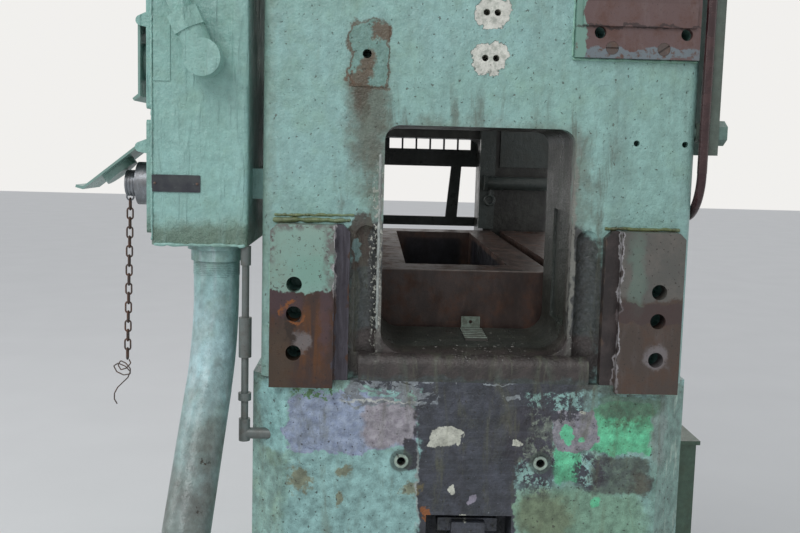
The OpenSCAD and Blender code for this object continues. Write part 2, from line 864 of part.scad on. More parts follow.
// Connecting rod's lower strap, with its shank and the wrist pin's eye
module rod(x) {
    far = cap_bolt_y + cap_lug_w;
    color([0.46, 0.46, 0.43]) difference() {
        union() {
            rod_x([x - rod_w / 2, 0, pin_z], throw_r + strap_t, rod_w);
            cap_lugs(x, pin_z - 60, 59.8);
            sweep_x(x - rod_w / 2 + 12, rod_w - 24)
                polygon([[-42, wrist_z], [42, wrist_z], [66, pin_z - 80], [-66, pin_z - 80]]);
            rod_x([x - rod_w / 2, 0, wrist_z], wrist_r + eye_wall, rod_w);
        }
        rod_x([x - rod_w, 0, pin_z], throw_r + oil_gap, 2 * rod_w);
        block([x - rod_w, -far, pin_z], [x + rod_w, far, pin_z + far]);
        rod_x([x - rod_w, 0, wrist_z], wrist_r + 0.05, 2 * rod_w);
        cap_holes(x, pin_z - 80, 100);
    }
}

// Connecting rod's cap over the eccentric
module rod_cap(x) {
    far = cap_bolt_y + cap_lug_w;
    color([0.46, 0.46, 0.43]) difference() {
        union() {
            rod_x([x - rod_w / 2, 0, pin_z], throw_r + strap_t, rod_w);
            cap_lugs(x, pin_z + 0.2, 49.8);
        }
        rod_x([x - rod_w, 0, pin_z], throw_r + oil_gap, 2 * rod_w);
        block([x - rod_w, -far, pin_z - far], [x + rod_w, far, pin_z + 0.2]);
        cap_holes(x, pin_z - 80, 200);
    }
}

// The two bolts that hold a rod to its cap
module rod_bolts(x) {
    color([0.28, 0.27, 0.26]) for (i = [-1, 1])
        union() {
            bolt_z([x, i * cap_bolt_y, pin_z + 50], cap_bolt_r, 112, 3 * cap_bolt_r, 13);
            hex_z([x, i * cap_bolt_y, pin_z - 76], 3 * cap_bolt_r, 16);
        }
}

module wrist_pin(x) {
    l = rod_w + 28;
    color([0.55, 0.54, 0.52]) difference() {
        rod_x([x - l / 2, 0, wrist_z], wrist_r, l);
        rod_x([x - l / 2 - 1, 0, wrist_z], 9, 30);
    }
}

module rod_right() {
    rod(px);
}
module rod_left() {
    rod(-px);
}
module rod_cap_right() {
    rod_cap(px);
}
module rod_cap_left() {
    rod_cap(-px);
}
module rod_bolts_right() {
    rod_bolts(px);
}
module rod_bolts_left() {
    rod_bolts(-px);
}
module wrist_pin_right() {
    wrist_pin(px);
}
module wrist_pin_left() {
    wrist_pin(-px);
}

// Feed end

// One feed pad on the end face; it hangs over the joint, notched clear of the bed
module feed_pad() {
    top = pad_z + pad_h;
    y1 = pad_y + pad_w;
    y2 = pad_y - pad_step_w;
    color([0.40, 0.30, 0.26]) difference() {
        union() {
            sweep_x(half_l, pad_t)
                polygon([[pad_y, pad_z], [y1, pad_z], [y1, top - 8], [y1 - 8, top], [pad_y, top]]);
            sweep_x(half_l, pad_t - pad_step_t)
                polygon([[y2, pad_z], [pad_y + 1, pad_z], [pad_y + 1, top], [y2 + 9, top], [y2, top - 9]]);
        }
        block([half_l - 1, y2 - 1, pad_z - 1], [bed_x + bolt_gap, y1 + 1, joint_z + bolt_gap]);
        for (z = [pad_hole_z, pad_hole_m, pad_hole_t])
            rod_x([half_l - 1, pad_hole_y, z], pad_hole_r, pad_t + 2);
    }
}

module feed_pad_front() {
    mirror([0, 1, 0]) feed_pad();
}
module feed_pad_rear() {
    feed_pad();
}

// Stepped steel plate high on the end face
module upper_plate() {
    y1 = plate_y + plate_w;
    rib_z = plate_z + 39.5;
    color([0.36, 0.28, 0.28]) difference() {
        union() {
            block([half_l, plate_y, plate_z], [half_l + plate_t, y1, plate_z + plate_h]);
            block([half_l, plate_y + 8, rib_z], [half_l + plate_t + 4, y1 - 6, rib_z + 30]);
            block([half_l, plate_y + 8, rib_z + 29], [half_l + plate_t + 2, y1 - 6, rib_z + 80]);
        }
        for (y = plate_hole_y)
            rod_x([half_l - 1, y, plate_hole_z], plate_hole_r, 20);
        for (p = plate_screws) {
            rod_x([half_l - 1, p.x, plate_screw_z], plate_screw_r + bolt_gap, 20);
            rod_x([half_l + 4, p.x, plate_screw_z], plate_screw_r + 3 + bolt_gap, 20);
        }
    }
}

module upper_plate_screws() {
    color([0.33, 0.30, 0.28]) for (p = plate_screws)
        translate([half_l, p.x, plate_screw_z]) difference() {
            union() {
                rod_x([-24, 0, 0], plate_screw_r, 30);
                rod_x([4, 0, 0], plate_screw_r + 3, plate_t - 4);
            }
            translate([plate_t, 0, 0]) rotate([p.y, 0, 0]) cube([4, 20, 2.2], center = true);
        }
}

// Small bent tab on the sill, with a ridged foot
module sill_tab() {
    x = in_x + 10;
    w = 28;
    l = 96;
    y = 14;
    color([0.45, 0.60, 0.48]) difference() {
        union() {
            block([x, y - w / 2, window_z], [x + 4, y + w / 2, window_z + 19]);
            block([x, y - w / 2 - 2, window_z], [x + l, y + w / 2 + 2, window_z + 2]);
            for (i = [1:6])
                rod_y([x + 14 * i, y - w / 2 - 2, window_z + 2], 1.6, w + 4);
        }
        rod_x([x - 1, y, window_z + 11], 2.8, 10);
    }
}

// Electrical pieces on the front of the right upright

// Sheet steel junction box; every hole in it carries a fitting
module junction_box() {
    color([0.40, 0.64, 0.56]) difference() {
        union() {
            translate([(box_x0 + box_x1) / 2, (box_y0 + box_y1) / 2, box_z])
                linear_extrude(box_h) plate2d(box_x, box_w, 6);
            // thin painted-over plate on its face
            block([box_x1 - 1, box_y0 + 4, box_z + 209], [box_x1 + 1.4, box_y0 + 25, box_z + 288]);
        }
        block([box_x0 + box_t, box_y0 + box_t, box_z + box_t],
            [box_x1 - box_t, box_y1 - box_t, box_z + box_h - box_t]);
        rod_z([pipe_x, pipe_y, box_z - 1], pipe_r + bolt_gap, 10);
        rod_x([box_x1 - 5, elbow_y, elbow_z], 14 + bolt_gap, 10);
        for (z = [cap_z, elbow_z])
            rod_y([lid_x, box_y0 - 1, z], well_r + bolt_gap, 6);
    }
}

// Spacers between the junction box and the upright
module box_brackets() {
    color([0.20, 0.26, 0.24]) for (z = [box_z + 60, box_z + box_h - 80])
        for (x = [box_x0 + 30, box_x1 - 110])
            block([x, box_y1, z], [x + 60, -half_d, z + 40]);
}

// Bare dark plate, its lettering left off
module label_plate() {
    color([0.10, 0.12, 0.13]) difference() {
        translate([0, box_y0 + 32.5, box_z + 79.5]) sweep_x(box_x1, 1.6) plate2d(62, 22, 2);
        for (i = [-1, 1])
            rod_x([box_x1 + 1, box_y0 + 32.5 + i * 27, box_z + 79.5], 1.5, 2);
    }
}

// Locknut and collar under the junction box
module conduit_locknut() {
    color([0.40, 0.58, 0.50]) difference() {
        union() {
            rod_z([pipe_x, pipe_y, box_z - 7], pipe_r + 8, 7);
            rod_z([pipe_x, pipe_y, box_z - 22], pipe_r + 3.5, 16);
        }
        rod_z([pipe_x, pipe_y, box_z - 23], pipe_r + 0.1, 30);
    }
}

// Large conduit: down from the box, out from the press, down to the floor
module conduit() {
    br = pipe_bend_r;
    a = pipe_bend_a;
    top = box_z - 60;
    p1 = [br * (1 - cos(a)), -br * sin(a)];
    p2 = p1 + pipe_run * [sin(a), -cos(a)];
    c2 = p2 - br * [cos(a), sin(a)];
    color([0.46, 0.60, 0.54]) union() {
        rod_z([pipe_x, pipe_y, top - 1], pipe_r, box_z + 13 - top);
        translate([pipe_x, pipe_y, top]) rotate([0, 0, -7.4]) {
            translate([br, 0, 0]) rotate([90, 0, 0]) rotate([0, 0, 180]) bend(br, pipe_r - lap, a);
            translate([p1.x, 0, p1.y]) rotate([0, 180 - a, 0]) translate([0, 0, -1])
                cylinder(r = pipe_r, h = pipe_run + 2);
            translate([c2.x, 0, c2.y]) rotate([90, 0, 0]) bend(br, pipe_r - lap, a);
            translate([c2.x + br, 0, -top]) cylinder(r = pipe_r, h = top + c2.y + 1);
        }
    }
}

// Pulling elbow on the box's face with its compression nut
module elbow_fitting() {
    color([0.42, 0.62, 0.54]) union() {
        rod_x([box_x1 - 6, elbow_y, elbow_z], 14, 8);
        rod_x([box_x1, elbow_y, elbow_z], 19, 30);
        rod_x([box_x1 + 14, elbow_y, elbow_z], 23, 34);
        translate([elbow_x, elbow_y, elbow_z]) rotate([elbow_a, 0, 0]) {
            cylinder(r = 17.5, h = 40);
            difference() {
                translate([0, 0, 38]) cylinder(r = 22, h = 24, $fn = 6);
                translate([0, 0, 50]) cylinder(r = tube_r + 0.1, h = 20);
            }
        }
    }
}

// Small conduit: leans out from the elbow, straightens up, turns in to a fitting on the end face
module small_conduit() {
    br = 100;
    a = elbow_a;
    c = elbow_x;
    y1 = elbow_y - 110 * sin(a);
    z1 = elbow_z + 110 * cos(a);
    y2 = y1 - br * (1 - cos(a));
    z2 = z1 + br * sin(a);
    z3 = crown_z - turn_room;
    br3 = 60;
    color([0.44, 0.64, 0.56]) union() {
        translate([c, elbow_y, elbow_z]) rotate([a, 0, 0]) translate([0, 0, 50])
            cylinder(r = tube_r, h = 60.5);
        translate([c, y2 + br, z2]) rotate([90, 0, 90]) rotate([0, 0, 180])
            bend(br, tube_r - lap, a);
        rod_z([c, y2, z2 - 0.5], tube_r, z3 - z2 + 1);
        translate([c, y2 + br3, z3]) rotate([90, 0, 90]) rotate([0, 0, 90])
            bend(br3, tube_r - lap, 90);
        rod_y([c, y2 + br3 - 0.5, z3 + br3], tube_r, -half_d + 25.5 - y2 - br3);
        block([half_l, -half_d + 22, z3 + br3 - 24], [c + 20, -half_d + 68, z3 + br3 + 24]);
    }
}

// Receptacle plate with its two hinge ears and pin, on the box's outer side
module receptacle_plate(z, hinge) {
    color([0.36, 0.56, 0.48]) union() {
        difference() {
            translate([0, box_y0, 0]) rotate([90, 0, 0]) linear_extrude(8)
                translate([lid_x, hinge.y - 38]) plate2d(100, 146, 5);
            rod_y([lid_x, box_y0 - 10, z], recept_r + bolt_gap, 20);
        }
        for (i = [-1, 1])
            hull() {
                rod_x([lid_x + i * 46 - 3, hinge.x, hinge.y], 6.5, 6);
                block([lid_x + i * 46 - 3, box_y0 - 9, hinge.y - 8],
                    [lid_x + i * 46 + 3, box_y0 - 4, hinge.y + 10]);
            }
        rod_x([lid_x - 44, hinge.x, hinge.y], 2.5, 88);
    }
}

module receptacle_plate_upper() {
    receptacle_plate(elbow_z, hinge_high);
}
module receptacle_plate_lower() {
    receptacle_plate(cap_z, hinge_low);
}

// Plug-in receptacle's body, with its contact well
module receptacle_body(z, out) {
    color([0.16, 0.15, 0.15]) difference() {
        union() {
            rod_y([lid_x, box_y0 - 8, z], recept_r, 8);
            rod_y([lid_x, box_y0 - out, z], recept_r, out - 0.5);
            rod_y([lid_x, box_y0 - 1, z], well_r, 26);
        }
        rod_y([lid_x, box_y0 - out - 1, z], 16 + bolt_gap, 22);
    }
}

module receptacle_upper() {
    receptacle_body(elbow_z, 8);
}
module receptacle_lower() {
    receptacle_body(cap_z, 29);
}

// Hinged lid drawn closed: the knuckle round the pin, the flap, its sealing pad, the lip at its tip
module lid() {
    difference() {
        union() {
            rod_x([-42, 0, 0], 6, 84);
            rod_y([0, -2.7, -49], 24, 9.4);
            sweep_x(-40, 80) polygon([
                [-5.8, 0], [-5.8, -92], [-13, -98], [-11, -101], [-3, -95], [-2.6, 0],
            ]);
        }
        rod_x([-43, 0, 0], 2.55, 86);
    }
}

module lid_upper() {
    color([0.40, 0.60, 0.52]) translate([lid_x, hinge_high.x, hinge_high.y]) lid();
}
module lid_lower() {
    color([0.36, 0.52, 0.46]) translate([lid_x, hinge_low.x, hinge_low.y])
        rotate([-lid_open, 0, 0]) lid();
}

// Threaded cap in the lower receptacle, with the eye for its chain
module receptacle_cap() {
    color([0.13, 0.12, 0.12]) union() {
        rod_y([lid_x, cap_y - 1, cap_z], 15.5, 18);
        rod_y([lid_x, cap_y - 16, cap_z], 16.5, 16);
        for (i = [0:3])
            rod_y([lid_x, cap_y - 15 + 4 * i, cap_z], 17.5, 2);
        translate([lid_x, cap_y - 12, eye_z]) rotate([0, 90, 0])
            rotate_extrude() translate([4.6, 0]) circle(1.1, $fn = 16);
    }
}

// Chain

// One link, standing up, with an oval of wire
module link(straight) {
    r = (chain_w - chain_wire) / 2;
    for (i = [-1, 1]) {
        translate([i * r, 0, -straight / 2]) cylinder(r = chain_wire / 2, h = straight, $fn = 10);
        translate([0, 0, i * straight / 2]) rotate([90, 0, 0]) rotate([0, 0, i > 0 ? 0 : 180])
            rotate_extrude(angle = 180, $fn = 24) translate([r, 0]) circle(chain_wire / 2, $fn = 10);
    }
}

// Chain of oval links, each turned a quarter from the last
module cap_chain() {
    bow = chain_w - chain_wire;
    straight = chain_pitch - bow + chain_wire + 0.2;
    top = eye_z - 4.6 + 1.1 + 0.2 + chain_wire / 2 - (straight + bow) / 2;
    color([0.20, 0.15, 0.13]) for (i = [0:chain_n - 1])
        translate([lid_x, cap_y - 12 - 0.3 * i, top - i * chain_pitch])
            rotate([0, 0, 90 * (i % 2)]) link(straight);
}

// Rear edge

// Bar plate standing off the upright's rear face, clamping over the hose
module rear_bar() {
    y = half_d + bar_gap;
    color([0.42, 0.52, 0.46]) difference() {
        union() {
            block([bar_x - bar_w, y, bar_z], [bar_x, y + bar_t, bar_z + bar_h]);
            rod_y([bar_bolt_x, half_d, bar_bolt_z], bar_bolt_r + 5, bar_gap + 1);
            block([bar_x - bar_w, half_d, bar_z + bar_h - 70], [bar_x - 36, y + 1, bar_z + bar_h]);
        }
        rod_y([bar_bolt_x, half_d - 1, bar_bolt_z], bar_bolt_r + bolt_gap, 40);
    }
}

module rear_bar_bolt() {
    y = half_d + bar_gap + bar_t;
    color([0.42, 0.54, 0.47]) union() {
        rod_y([bar_bolt_x, half_d - 26, bar_bolt_z], bar_bolt_r, y - half_d + 26);
        translate([bar_bolt_x, y, bar_bolt_z]) rotate([-90, 0, 0]) rotate([0, 0, 30])
            cylinder(r = 28 / sqrt(3), h = 12, $fn = 6);
    }
}

// Hose down the rear edge, turning in behind the upright
module hose() {
    x = half_l + hose_r + 0.5;
    y = half_d + hose_r + 0.6;
    z = hose_z + hose_bend_r;
    color([0.22, 0.09, 0.10]) union() {
        rod_z([x, y, z - 0.5], hose_r, crown_z - z + 0.5);
        translate([x - hose_bend_r, y, z]) rotate([90, 0, 0]) rotate([0, 0, -90])
            bend(hose_bend_r, hose_r - lap, 90);
        rod_x([half_l - 138, y, hose_z], hose_r, 138 - hose_bend_r + x - half_l + 0.5);
        rod_x([half_l - 138, y, hose_z], hose_r + 0.5, 24);
    }
}

// Air line between the junction box and the bed
module air_line() {
    color([0.42, 0.42, 0.40]) union() {
        rod_z([air_x, air_y, box_z - 25], 6.8, 25);
        rod_z([air_x, air_y, air_z], 4.8, box_z - 24 - air_z);
        rod_z([air_x, air_y, air_z + 103], 8.4, 53);
        rod_z([air_x, air_y, air_z + 45], 8.6, 10);
        rod_z([air_x, air_y, air_z - 10], 7.5, 30);
        rod_y([air_x, air_y, air_z], 7.5, 40);
    }
}

// Drive

// Outline of a belt round the flywheel and the sheave, in Y and Z about the crank: one arc on each wheel
function belt_path(r1, r2) =
    let (
        c2 = [motor_y, motor_z - crank_z],
        a0 = atan2(c2.y, c2.x),
        a = acos((r1 - r2) / norm(c2)),
        big = [for (i = [0:72]) r1 * unit(a0 + a + i * (360 - 2 * a) / 72)],
        small = [for (i = [0:24]) c2 + r2 * unit(a0 - a + i * 2 * a / 24)]
    )
    concat(big, small);

// Direction at an angle
function unit(a) = [cos(a), sin(a)];

// Belt number i's place along X
function belt_x(i) = wheel_x + belt_pitch * (i - (belt_n - 1) / 2);

// Grooves for the belts in a wheel of radius r about an axis through y and z
module belt_grooves(r, y, z) {
    for (i = [0:belt_n - 1])
        difference() {
            rod_x([belt_x(i) - 8, y, z], r + 2, 16);
            rod_x([belt_x(i) - 9, y, z], r - 9, 18);
        }
}

// Flywheel: grooved rim, web with lightening holes, hub running on the crankshaft
module flywheel() {
    color([0.40, 0.40, 0.39]) difference() {
        rod_x([wheel_x0, 0, crank_z], wheel_r, wheel_w);
        for (side = [-1, 1])
            difference() {
                rod_x([wheel_x + side * (wheel_w / 2 - 18) - 22, 0, crank_z], wheel_r - 66, 44);
                rod_x([wheel_x0 - 1, 0, crank_z], 112, wheel_w + 2);
            }
        rod_x([wheel_x0 - 1, 0, crank_z], journal_r + oil_gap, wheel_w + 2);
        for (i = [0:5])
            translate([0, 0, crank_z]) rotate([60 * i, 0, 0])
                rod_x([wheel_x0 - 1, 215, 0], 52, wheel_w + 2);
        belt_grooves(wheel_r, 0, crank_z);
    }
}

// Clutch housing keyed to the crankshaft outside the flywheel
module clutch_housing() {
    x = wheel_x0 - 4;
    color([0.34, 0.46, 0.40]) difference() {
        union() {
            rod_x([x - 34, 0, crank_z], 175, 34);
            rod_x([x - 52, 0, crank_z], 110, 20);
            for (i = [0:7])
                translate([0, 0, crank_z]) rotate([45 * i, 0, 0])
                    rod_x([x - 42, 150, 0], 11, 10, $fn = 6);
        }
        rod_x([x - 60, 0, crank_z], journal_r + 0.02, 70);
    }
}

// The four places of the motor's bolts
module motor_places() {
    for (x = motor_bolt_x)
        for (i = [-1, 1])
            translate([x, motor_y + i * motor_bolt_y, 0]) children();
}

// Motor: finned frame, end bells, feet, terminal box, shaft
module motor() {
    foot = crown_top + plate_h0;
    foot_x0 = motor_x0 + 30;
    foot_x1 = motor_x1 - 40;
    color([0.38, 0.52, 0.46]) difference() {
        union() {
            rod_x([motor_x0, motor_y, motor_z], motor_r, motor_l);
            for (i = [0:11])
                rod_x([motor_x0 + 10 + i * (motor_l - 29) / 11, motor_y, motor_z], motor_r + fin, 7);
            rod_x([motor_x0 - motor_end, motor_y, motor_z], motor_r - 22, motor_end + 2);
            rod_x([motor_x1 - 2, motor_y, motor_z], motor_r - 6, 42);
            block([foot_x0, motor_y - motor_bolt_y - 20, foot],
                [foot_x1, motor_y + motor_bolt_y + 20, foot + 18]);
            for (i = [-1, 1])
                block([foot_x0, motor_y + i * 70 - 14, foot + 12],
                    [foot_x1, motor_y + i * 70 + 14, motor_z - 60]);
            block([foot_x0 + 30, motor_y + 80, motor_z - 45],
                [foot_x1 - 40, motor_y + motor_r + 60, motor_z + 45]);
        }
        motor_places() rod_z([0, 0, crown_top + 10], 6, 40);
    }
}

// Motor plate on the crown's top, ribbed where it overhangs
module motor_bracket() {
    z = crown_top;
    y1 = motor_y + 150;
    color([0.36, 0.50, 0.44]) difference() {
        union() {
            block([-crown_x, motor_y - 108, z], [motor_x1 + 40, y1, z + plate_h0]);
            block([motor_x1 - 110, 130, z], [motor_x1 + 40, motor_y - 107, z + plate_h0]);
            block([guard_x0 + guard_l, motor_y + 50, z], [-crown_x + 1, y1 - 30, z + plate_h0]);
            for (x = [motor_x0, -cover_x - 36])
                sweep_x(x, 16) polygon([
                    [crown_y, z + 1], [y1 - 8, z + 1], [y1 - 8, z - 10], [crown_y + 12, z - 150],
                    [crown_y, z - 150],
                ]);
        }
        motor_places() rod_z([0, 0, z - 1], 6, 40);
    }
}

// Motor's sheave and shaft
module motor_sheave() {
    color([0.42, 0.42, 0.41]) difference() {
        union() {
            rod_x([wheel_x - 38, motor_y, motor_z], sheave_r, 76);
            rod_x([wheel_x - 60, motor_y, motor_z], 24, motor_x0 - motor_end - wheel_x + 59.5);
        }
        belt_grooves(sheave_r, motor_y, motor_z);
    }
}

// Drive belts, side by side, lying in the grooves with clearance
module drive_belts() {
    color([0.09, 0.09, 0.09]) for (i = [0:belt_n - 1])
        translate([0, 0, crank_z]) sweep_x(belt_x(i) - 6.5, 13)
            difference() {
                polygon(belt_path(wheel_r + 2, sheave_r + 2));
                polygon(belt_path(wheel_r - 8, sheave_r - 8));
            }
}

// Sheet guard over the flywheel and belts, open towards the crown, on three posts
module belt_guard() {
    mid = guard_r - guard_sheet / 2;
    color([0.40, 0.58, 0.50]) union() {
        translate([0, 0, crank_z]) {
            sweep_x(guard_x0, guard_l) difference() {
                polygon(belt_path(wheel_r + guard_r, sheave_r + guard_r));
                polygon(belt_path(wheel_r + guard_gap, sheave_r + guard_gap));
            }
            sweep_x(guard_x0, guard_sheet) polygon(belt_path(wheel_r + mid, sheave_r + mid));
            for (a = [-125, -90, -55])
                rotate([a, 0, 0])
                    rod_x([guard_x0 + guard_l - 30, wheel_r + mid, 0], 14,
                        -half_l - guard_x0 - guard_l + 30);
        }
    }
}

// Covers

// Crown access cover, drawn on the rear
module crown_cover() {
    mid = cover_z + cover_h / 2;
    color([0.40, 0.60, 0.52]) difference() {
        union() {
            sweep_y(crown_y, cover_t) translate([0, mid]) plate2d(2 * cover_x, cover_h, 14);
            sweep_y(crown_y + cover_t - 1, 9) translate([0, mid])
                plate2d(2 * cover_x - 120, cover_h - 100, 20);
        }
        cover_places() rod_y([0, crown_y - 22, 0], cover_bolt_r + bolt_gap, 40);
    }
}

module crown_cover_rear() {
    crown_cover();
}
module crown_cover_front() {
    mirror([0, 1, 0]) crown_cover();
}

// Hexagon bolts of the two crown covers
module cover_bolts() {
    color([0.34, 0.44, 0.38]) both_y() cover_places() union() {
        rod_y([0, crown_y - 20, 0], cover_bolt_r, 20 + cover_t);
        translate([0, crown_y + cover_t, 0]) rotate([-90, 0, 0])
            cylinder(r = 17 / sqrt(3), h = 6.4, $fn = 6);
    }
}

// Lubricant tank on the floor behind the bed, with its lid and filler neck
module lube_tank() {
    x0 = -470;
    y0 = bed_y + 8;
    y1 = y0 + 218;
    h = 514;
    wall = 4;
    neck_r = 26;
    color([0.16, 0.26, 0.19]) difference() {
        union() {
            block([x0, y0, 0], [0, y1, h]);
            block([x0 - 6, bed_y, h], [6, y1 + 6, h + 8]);
            rod_z([-120, y0 + 130, h + 6], neck_r, 30);
        }
        block([x0 + wall, y0 + wall, wall], [-wall, y1 - wall, h - wall]);
        rod_z([-120, y0 + 130, h - 14], neck_r - 5, 60);
    }
}

// Bar guard over the exit window, and the guard's post, arm and panel inside the left upright
module exit_guard() {
    y = window_w / 2 + 5;
    band = win_top - 68;
    color([0.16, 0.24, 0.20]) {
        sweep_x(-half_l - 9, 9) difference() {
            union() {
                for (i = [-1, 1])
                    translate([i * (y + 11) - 11, window_z + 35]) square([22, 290]);
                translate([-y - 11, bolster_z - 7]) square([2 * y + 22, 23]);
                translate([-y - 11, band]) square([2 * y + 22, 87]);
                // slanted strut
                polygon([[47, bolster_z], [77, bolster_z], [86, band + 1], [60, band + 1]]);
            }
            for (i = [0:5])
                translate([-98 + 35.1 * i, band + 43]) square([30.6, 30]);
        }
        guard_arm();
        block([-in_x, half_d - 122, bolster_z + 148], [-in_x + 6, half_d, slide_z - 10]);
    }
}

// Post on the left upright's inner face, carrying an arm with a hexagon and a ring
module guard_arm() {
    x = -in_x + 34;
    z = bolster_z + 111;
    block([-in_x, 110, bolster_z + 5], [-in_x + 24, 145, slide_z - 10]);
    rod_y([x, 126, z], 15, 154);
    rod_y([x, 119, z], 20, 8, $fn = 6);
    rod_z([x, 133, z - 28], 3, 16);
    translate([x, 133, z - 40]) rotate([0, 90, 0])
        rotate_extrude() translate([11, 0]) circle(3.2, $fn = 16);
}

bed();
right_upright();
left_upright();
crown();
tie_rods();
tie_rod_nuts();
bolster();
bolster_bolts();
gib_front_right();
gib_rear_right();
gib_front_left();
gib_rear_left();
gib_bolts();
feed_pad_front();
feed_pad_rear();
upper_plate();
upper_plate_screws();
sill_tab();
junction_box();
box_brackets();
label_plate();
conduit_locknut();
conduit();
elbow_fitting();
small_conduit();
receptacle_plate_upper();
receptacle_plate_lower();
receptacle_upper();
receptacle_lower();
lid_upper();
lid_lower();
receptacle_cap();
cap_chain();
rear_bar();
rear_bar_bolt();
hose();
air_line();
crankshaft();
main_bearings();
rod_right();
rod_cap_right();
rod_bolts_right();
wrist_pin_right();
rod_left();
rod_cap_left();
rod_bolts_left();
wrist_pin_left();
slide();
flywheel();
clutch_housing();
motor();
motor_bracket();
motor_sheave();
drive_belts();
belt_guard();
crown_cover_front();
crown_cover_rear();
cover_bolts();
lube_tank();
exit_guard();
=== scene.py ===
import math
import random

import bmesh
import bpy
from mathutils import Matrix, Vector


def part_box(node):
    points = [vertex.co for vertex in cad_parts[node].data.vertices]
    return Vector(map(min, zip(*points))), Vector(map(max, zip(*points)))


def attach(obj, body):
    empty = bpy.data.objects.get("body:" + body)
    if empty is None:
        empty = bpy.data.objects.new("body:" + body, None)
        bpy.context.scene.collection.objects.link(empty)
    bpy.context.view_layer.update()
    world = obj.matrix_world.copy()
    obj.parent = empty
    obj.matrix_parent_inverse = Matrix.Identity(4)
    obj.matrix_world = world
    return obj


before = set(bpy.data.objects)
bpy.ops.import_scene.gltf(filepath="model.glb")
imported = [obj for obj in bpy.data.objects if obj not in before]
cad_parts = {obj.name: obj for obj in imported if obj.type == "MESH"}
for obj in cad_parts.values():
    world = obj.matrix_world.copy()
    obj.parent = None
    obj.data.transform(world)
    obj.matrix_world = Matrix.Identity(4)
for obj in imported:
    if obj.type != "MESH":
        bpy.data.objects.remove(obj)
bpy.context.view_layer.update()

# The camera stands off the feed end of the press, a little in front of its middle and just above
# the bolster, and looks along the strip's way. Its place and lens come from the vanishing points.
camera_data = bpy.data.cameras.new("feed_end_camera")
camera_data.sensor_width = 36.0
camera_data.lens = 990 / 800 * 36.0
camera = bpy.data.objects.new("feed_end_camera", camera_data)
bpy.context.scene.collection.objects.link(camera)
look_right = Vector((0.02608, 0.99932, 0.02618))
look_up = Vector((-0.11584, -0.02299, 0.993))
look_back = Vector((0.99293, -0.02893, 0.11516))
camera.matrix_world = Matrix(((look_right.x, look_up.x, look_back.x, 1.902),
    (look_right.y, look_up.y, look_back.y, -0.137), (look_right.z, look_up.z, look_back.z, 1.0775),
    (0, 0, 0, 1), ))
bpy.context.scene.camera = camera
bpy.context.scene.view_settings.view_transform = "Standard"

# The press stands on a plain pale floor, in soft light from a wide lamp above the feed end and a
# weaker one on the operator's side; the sky is even and shows white to the camera and in gloss.
bpy.ops.object.select_all(action="DESELECT")
bpy.ops.mesh.primitive_plane_add(size=40, location=(0, 0, -0.0005))
floor = bpy.context.active_object
floor.name = "floor"


def own_material(name):
    """A new material with its shader, and the tree to build it in."""
    made = bpy.data.materials.new(name)
    made.use_nodes = True
    tree = made.node_tree
    return made, tree, tree.nodes["Principled BSDF"]


floor_finish, floor_tree, floor_shader = own_material("pale_floor")
floor_shader.inputs["Roughness"].default_value = 0.9
floor_place = floor_tree.nodes.new("ShaderNodeTexCoord")
floor_cloud = floor_tree.nodes.new("ShaderNodeTexNoise")
floor_cloud.inputs["Scale"].default_value = 3.0
floor_cloud.inputs["Detail"].default_value = 4.0
floor_shade = floor_tree.nodes.new("ShaderNodeMapRange")
floor_shade.inputs["To Min"].default_value = 0.72
floor_shade.inputs["To Max"].default_value = 0.78
floor_tree.links.new(floor_place.outputs["Object"], floor_cloud.inputs["Vector"])
floor_tree.links.new(floor_cloud.outputs["Fac"], floor_shade.inputs["Value"])
floor_tree.links.new(floor_shade.outputs["Result"], floor_shader.inputs["Base Color"])
floor.data.materials.append(floor_finish)

world = bpy.data.worlds.new("even_sky")
bpy.context.scene.world = world
world.use_nodes = True
sky = world.node_tree
sky_light = sky.nodes["Background"]
sky_light.inputs["Color"].default_value = (0.93, 0.96, 1.0, 1)
sky_light.inputs["Strength"].default_value = 0.62
sky_white = sky.nodes.new("ShaderNodeBackground")
sky_white.inputs["Color"].default_value = (0.88, 0.87, 0.85, 1)
sky_white.inputs["Strength"].default_value = 1.0
sky_path = sky.nodes.new("ShaderNodeLightPath")
sky_seen = sky.nodes.new("ShaderNodeMath")
sky_seen.operation = "MAXIMUM"
sky_clear = sky.nodes.new("ShaderNodeMath")
sky_clear.operation = "MAXIMUM"
sky_mix = sky.nodes.new("ShaderNodeMixShader")
sky.links.new(sky_path.outputs["Is Camera Ray"], sky_seen.inputs[0])
sky.links.new(sky_path.outputs["Is Glossy Ray"], sky_seen.inputs[1])
sky.links.new(sky_seen.outputs[0], sky_clear.inputs[0])
sky.links.new(sky_path.outputs["Is Transmission Ray"], sky_clear.inputs[1])
sky.links.new(sky_clear.outputs[0], sky_mix.inputs["Fac"])
sky.links.new(sky_light.outputs[0], sky_mix.inputs[1])
sky.links.new(sky_white.outputs[0], sky_mix.inputs[2])
sky.links.new(sky_mix.outputs[0], sky.nodes["World Output"].inputs["Surface"])

for lamp_name, lamp_place, lamp_aim, lamp_size, lamp_power in (
    ("lamp_feed_end", (3.4, -1.5, 3.6), (0.6, 0.0, 0.95), 2.2, 60),
    ("lamp_front", (0.8, -4.2, 2.6), (0.3, 0.0, 1.0), 2.5, 40),
):
    lamp_data = bpy.data.lights.new(lamp_name, "AREA")
    lamp_data.shape = "DISK"
    lamp_data.size = lamp_size
    lamp_data.energy = lamp_power
    lamp = bpy.data.objects.new(lamp_name, lamp_data)
    bpy.context.scene.collection.objects.link(lamp)
    lamp.location = lamp_place
    lamp.rotation_euler = (Vector(lamp_aim) - Vector(lamp_place)).to_track_quat("-Z", "Y").to_euler()


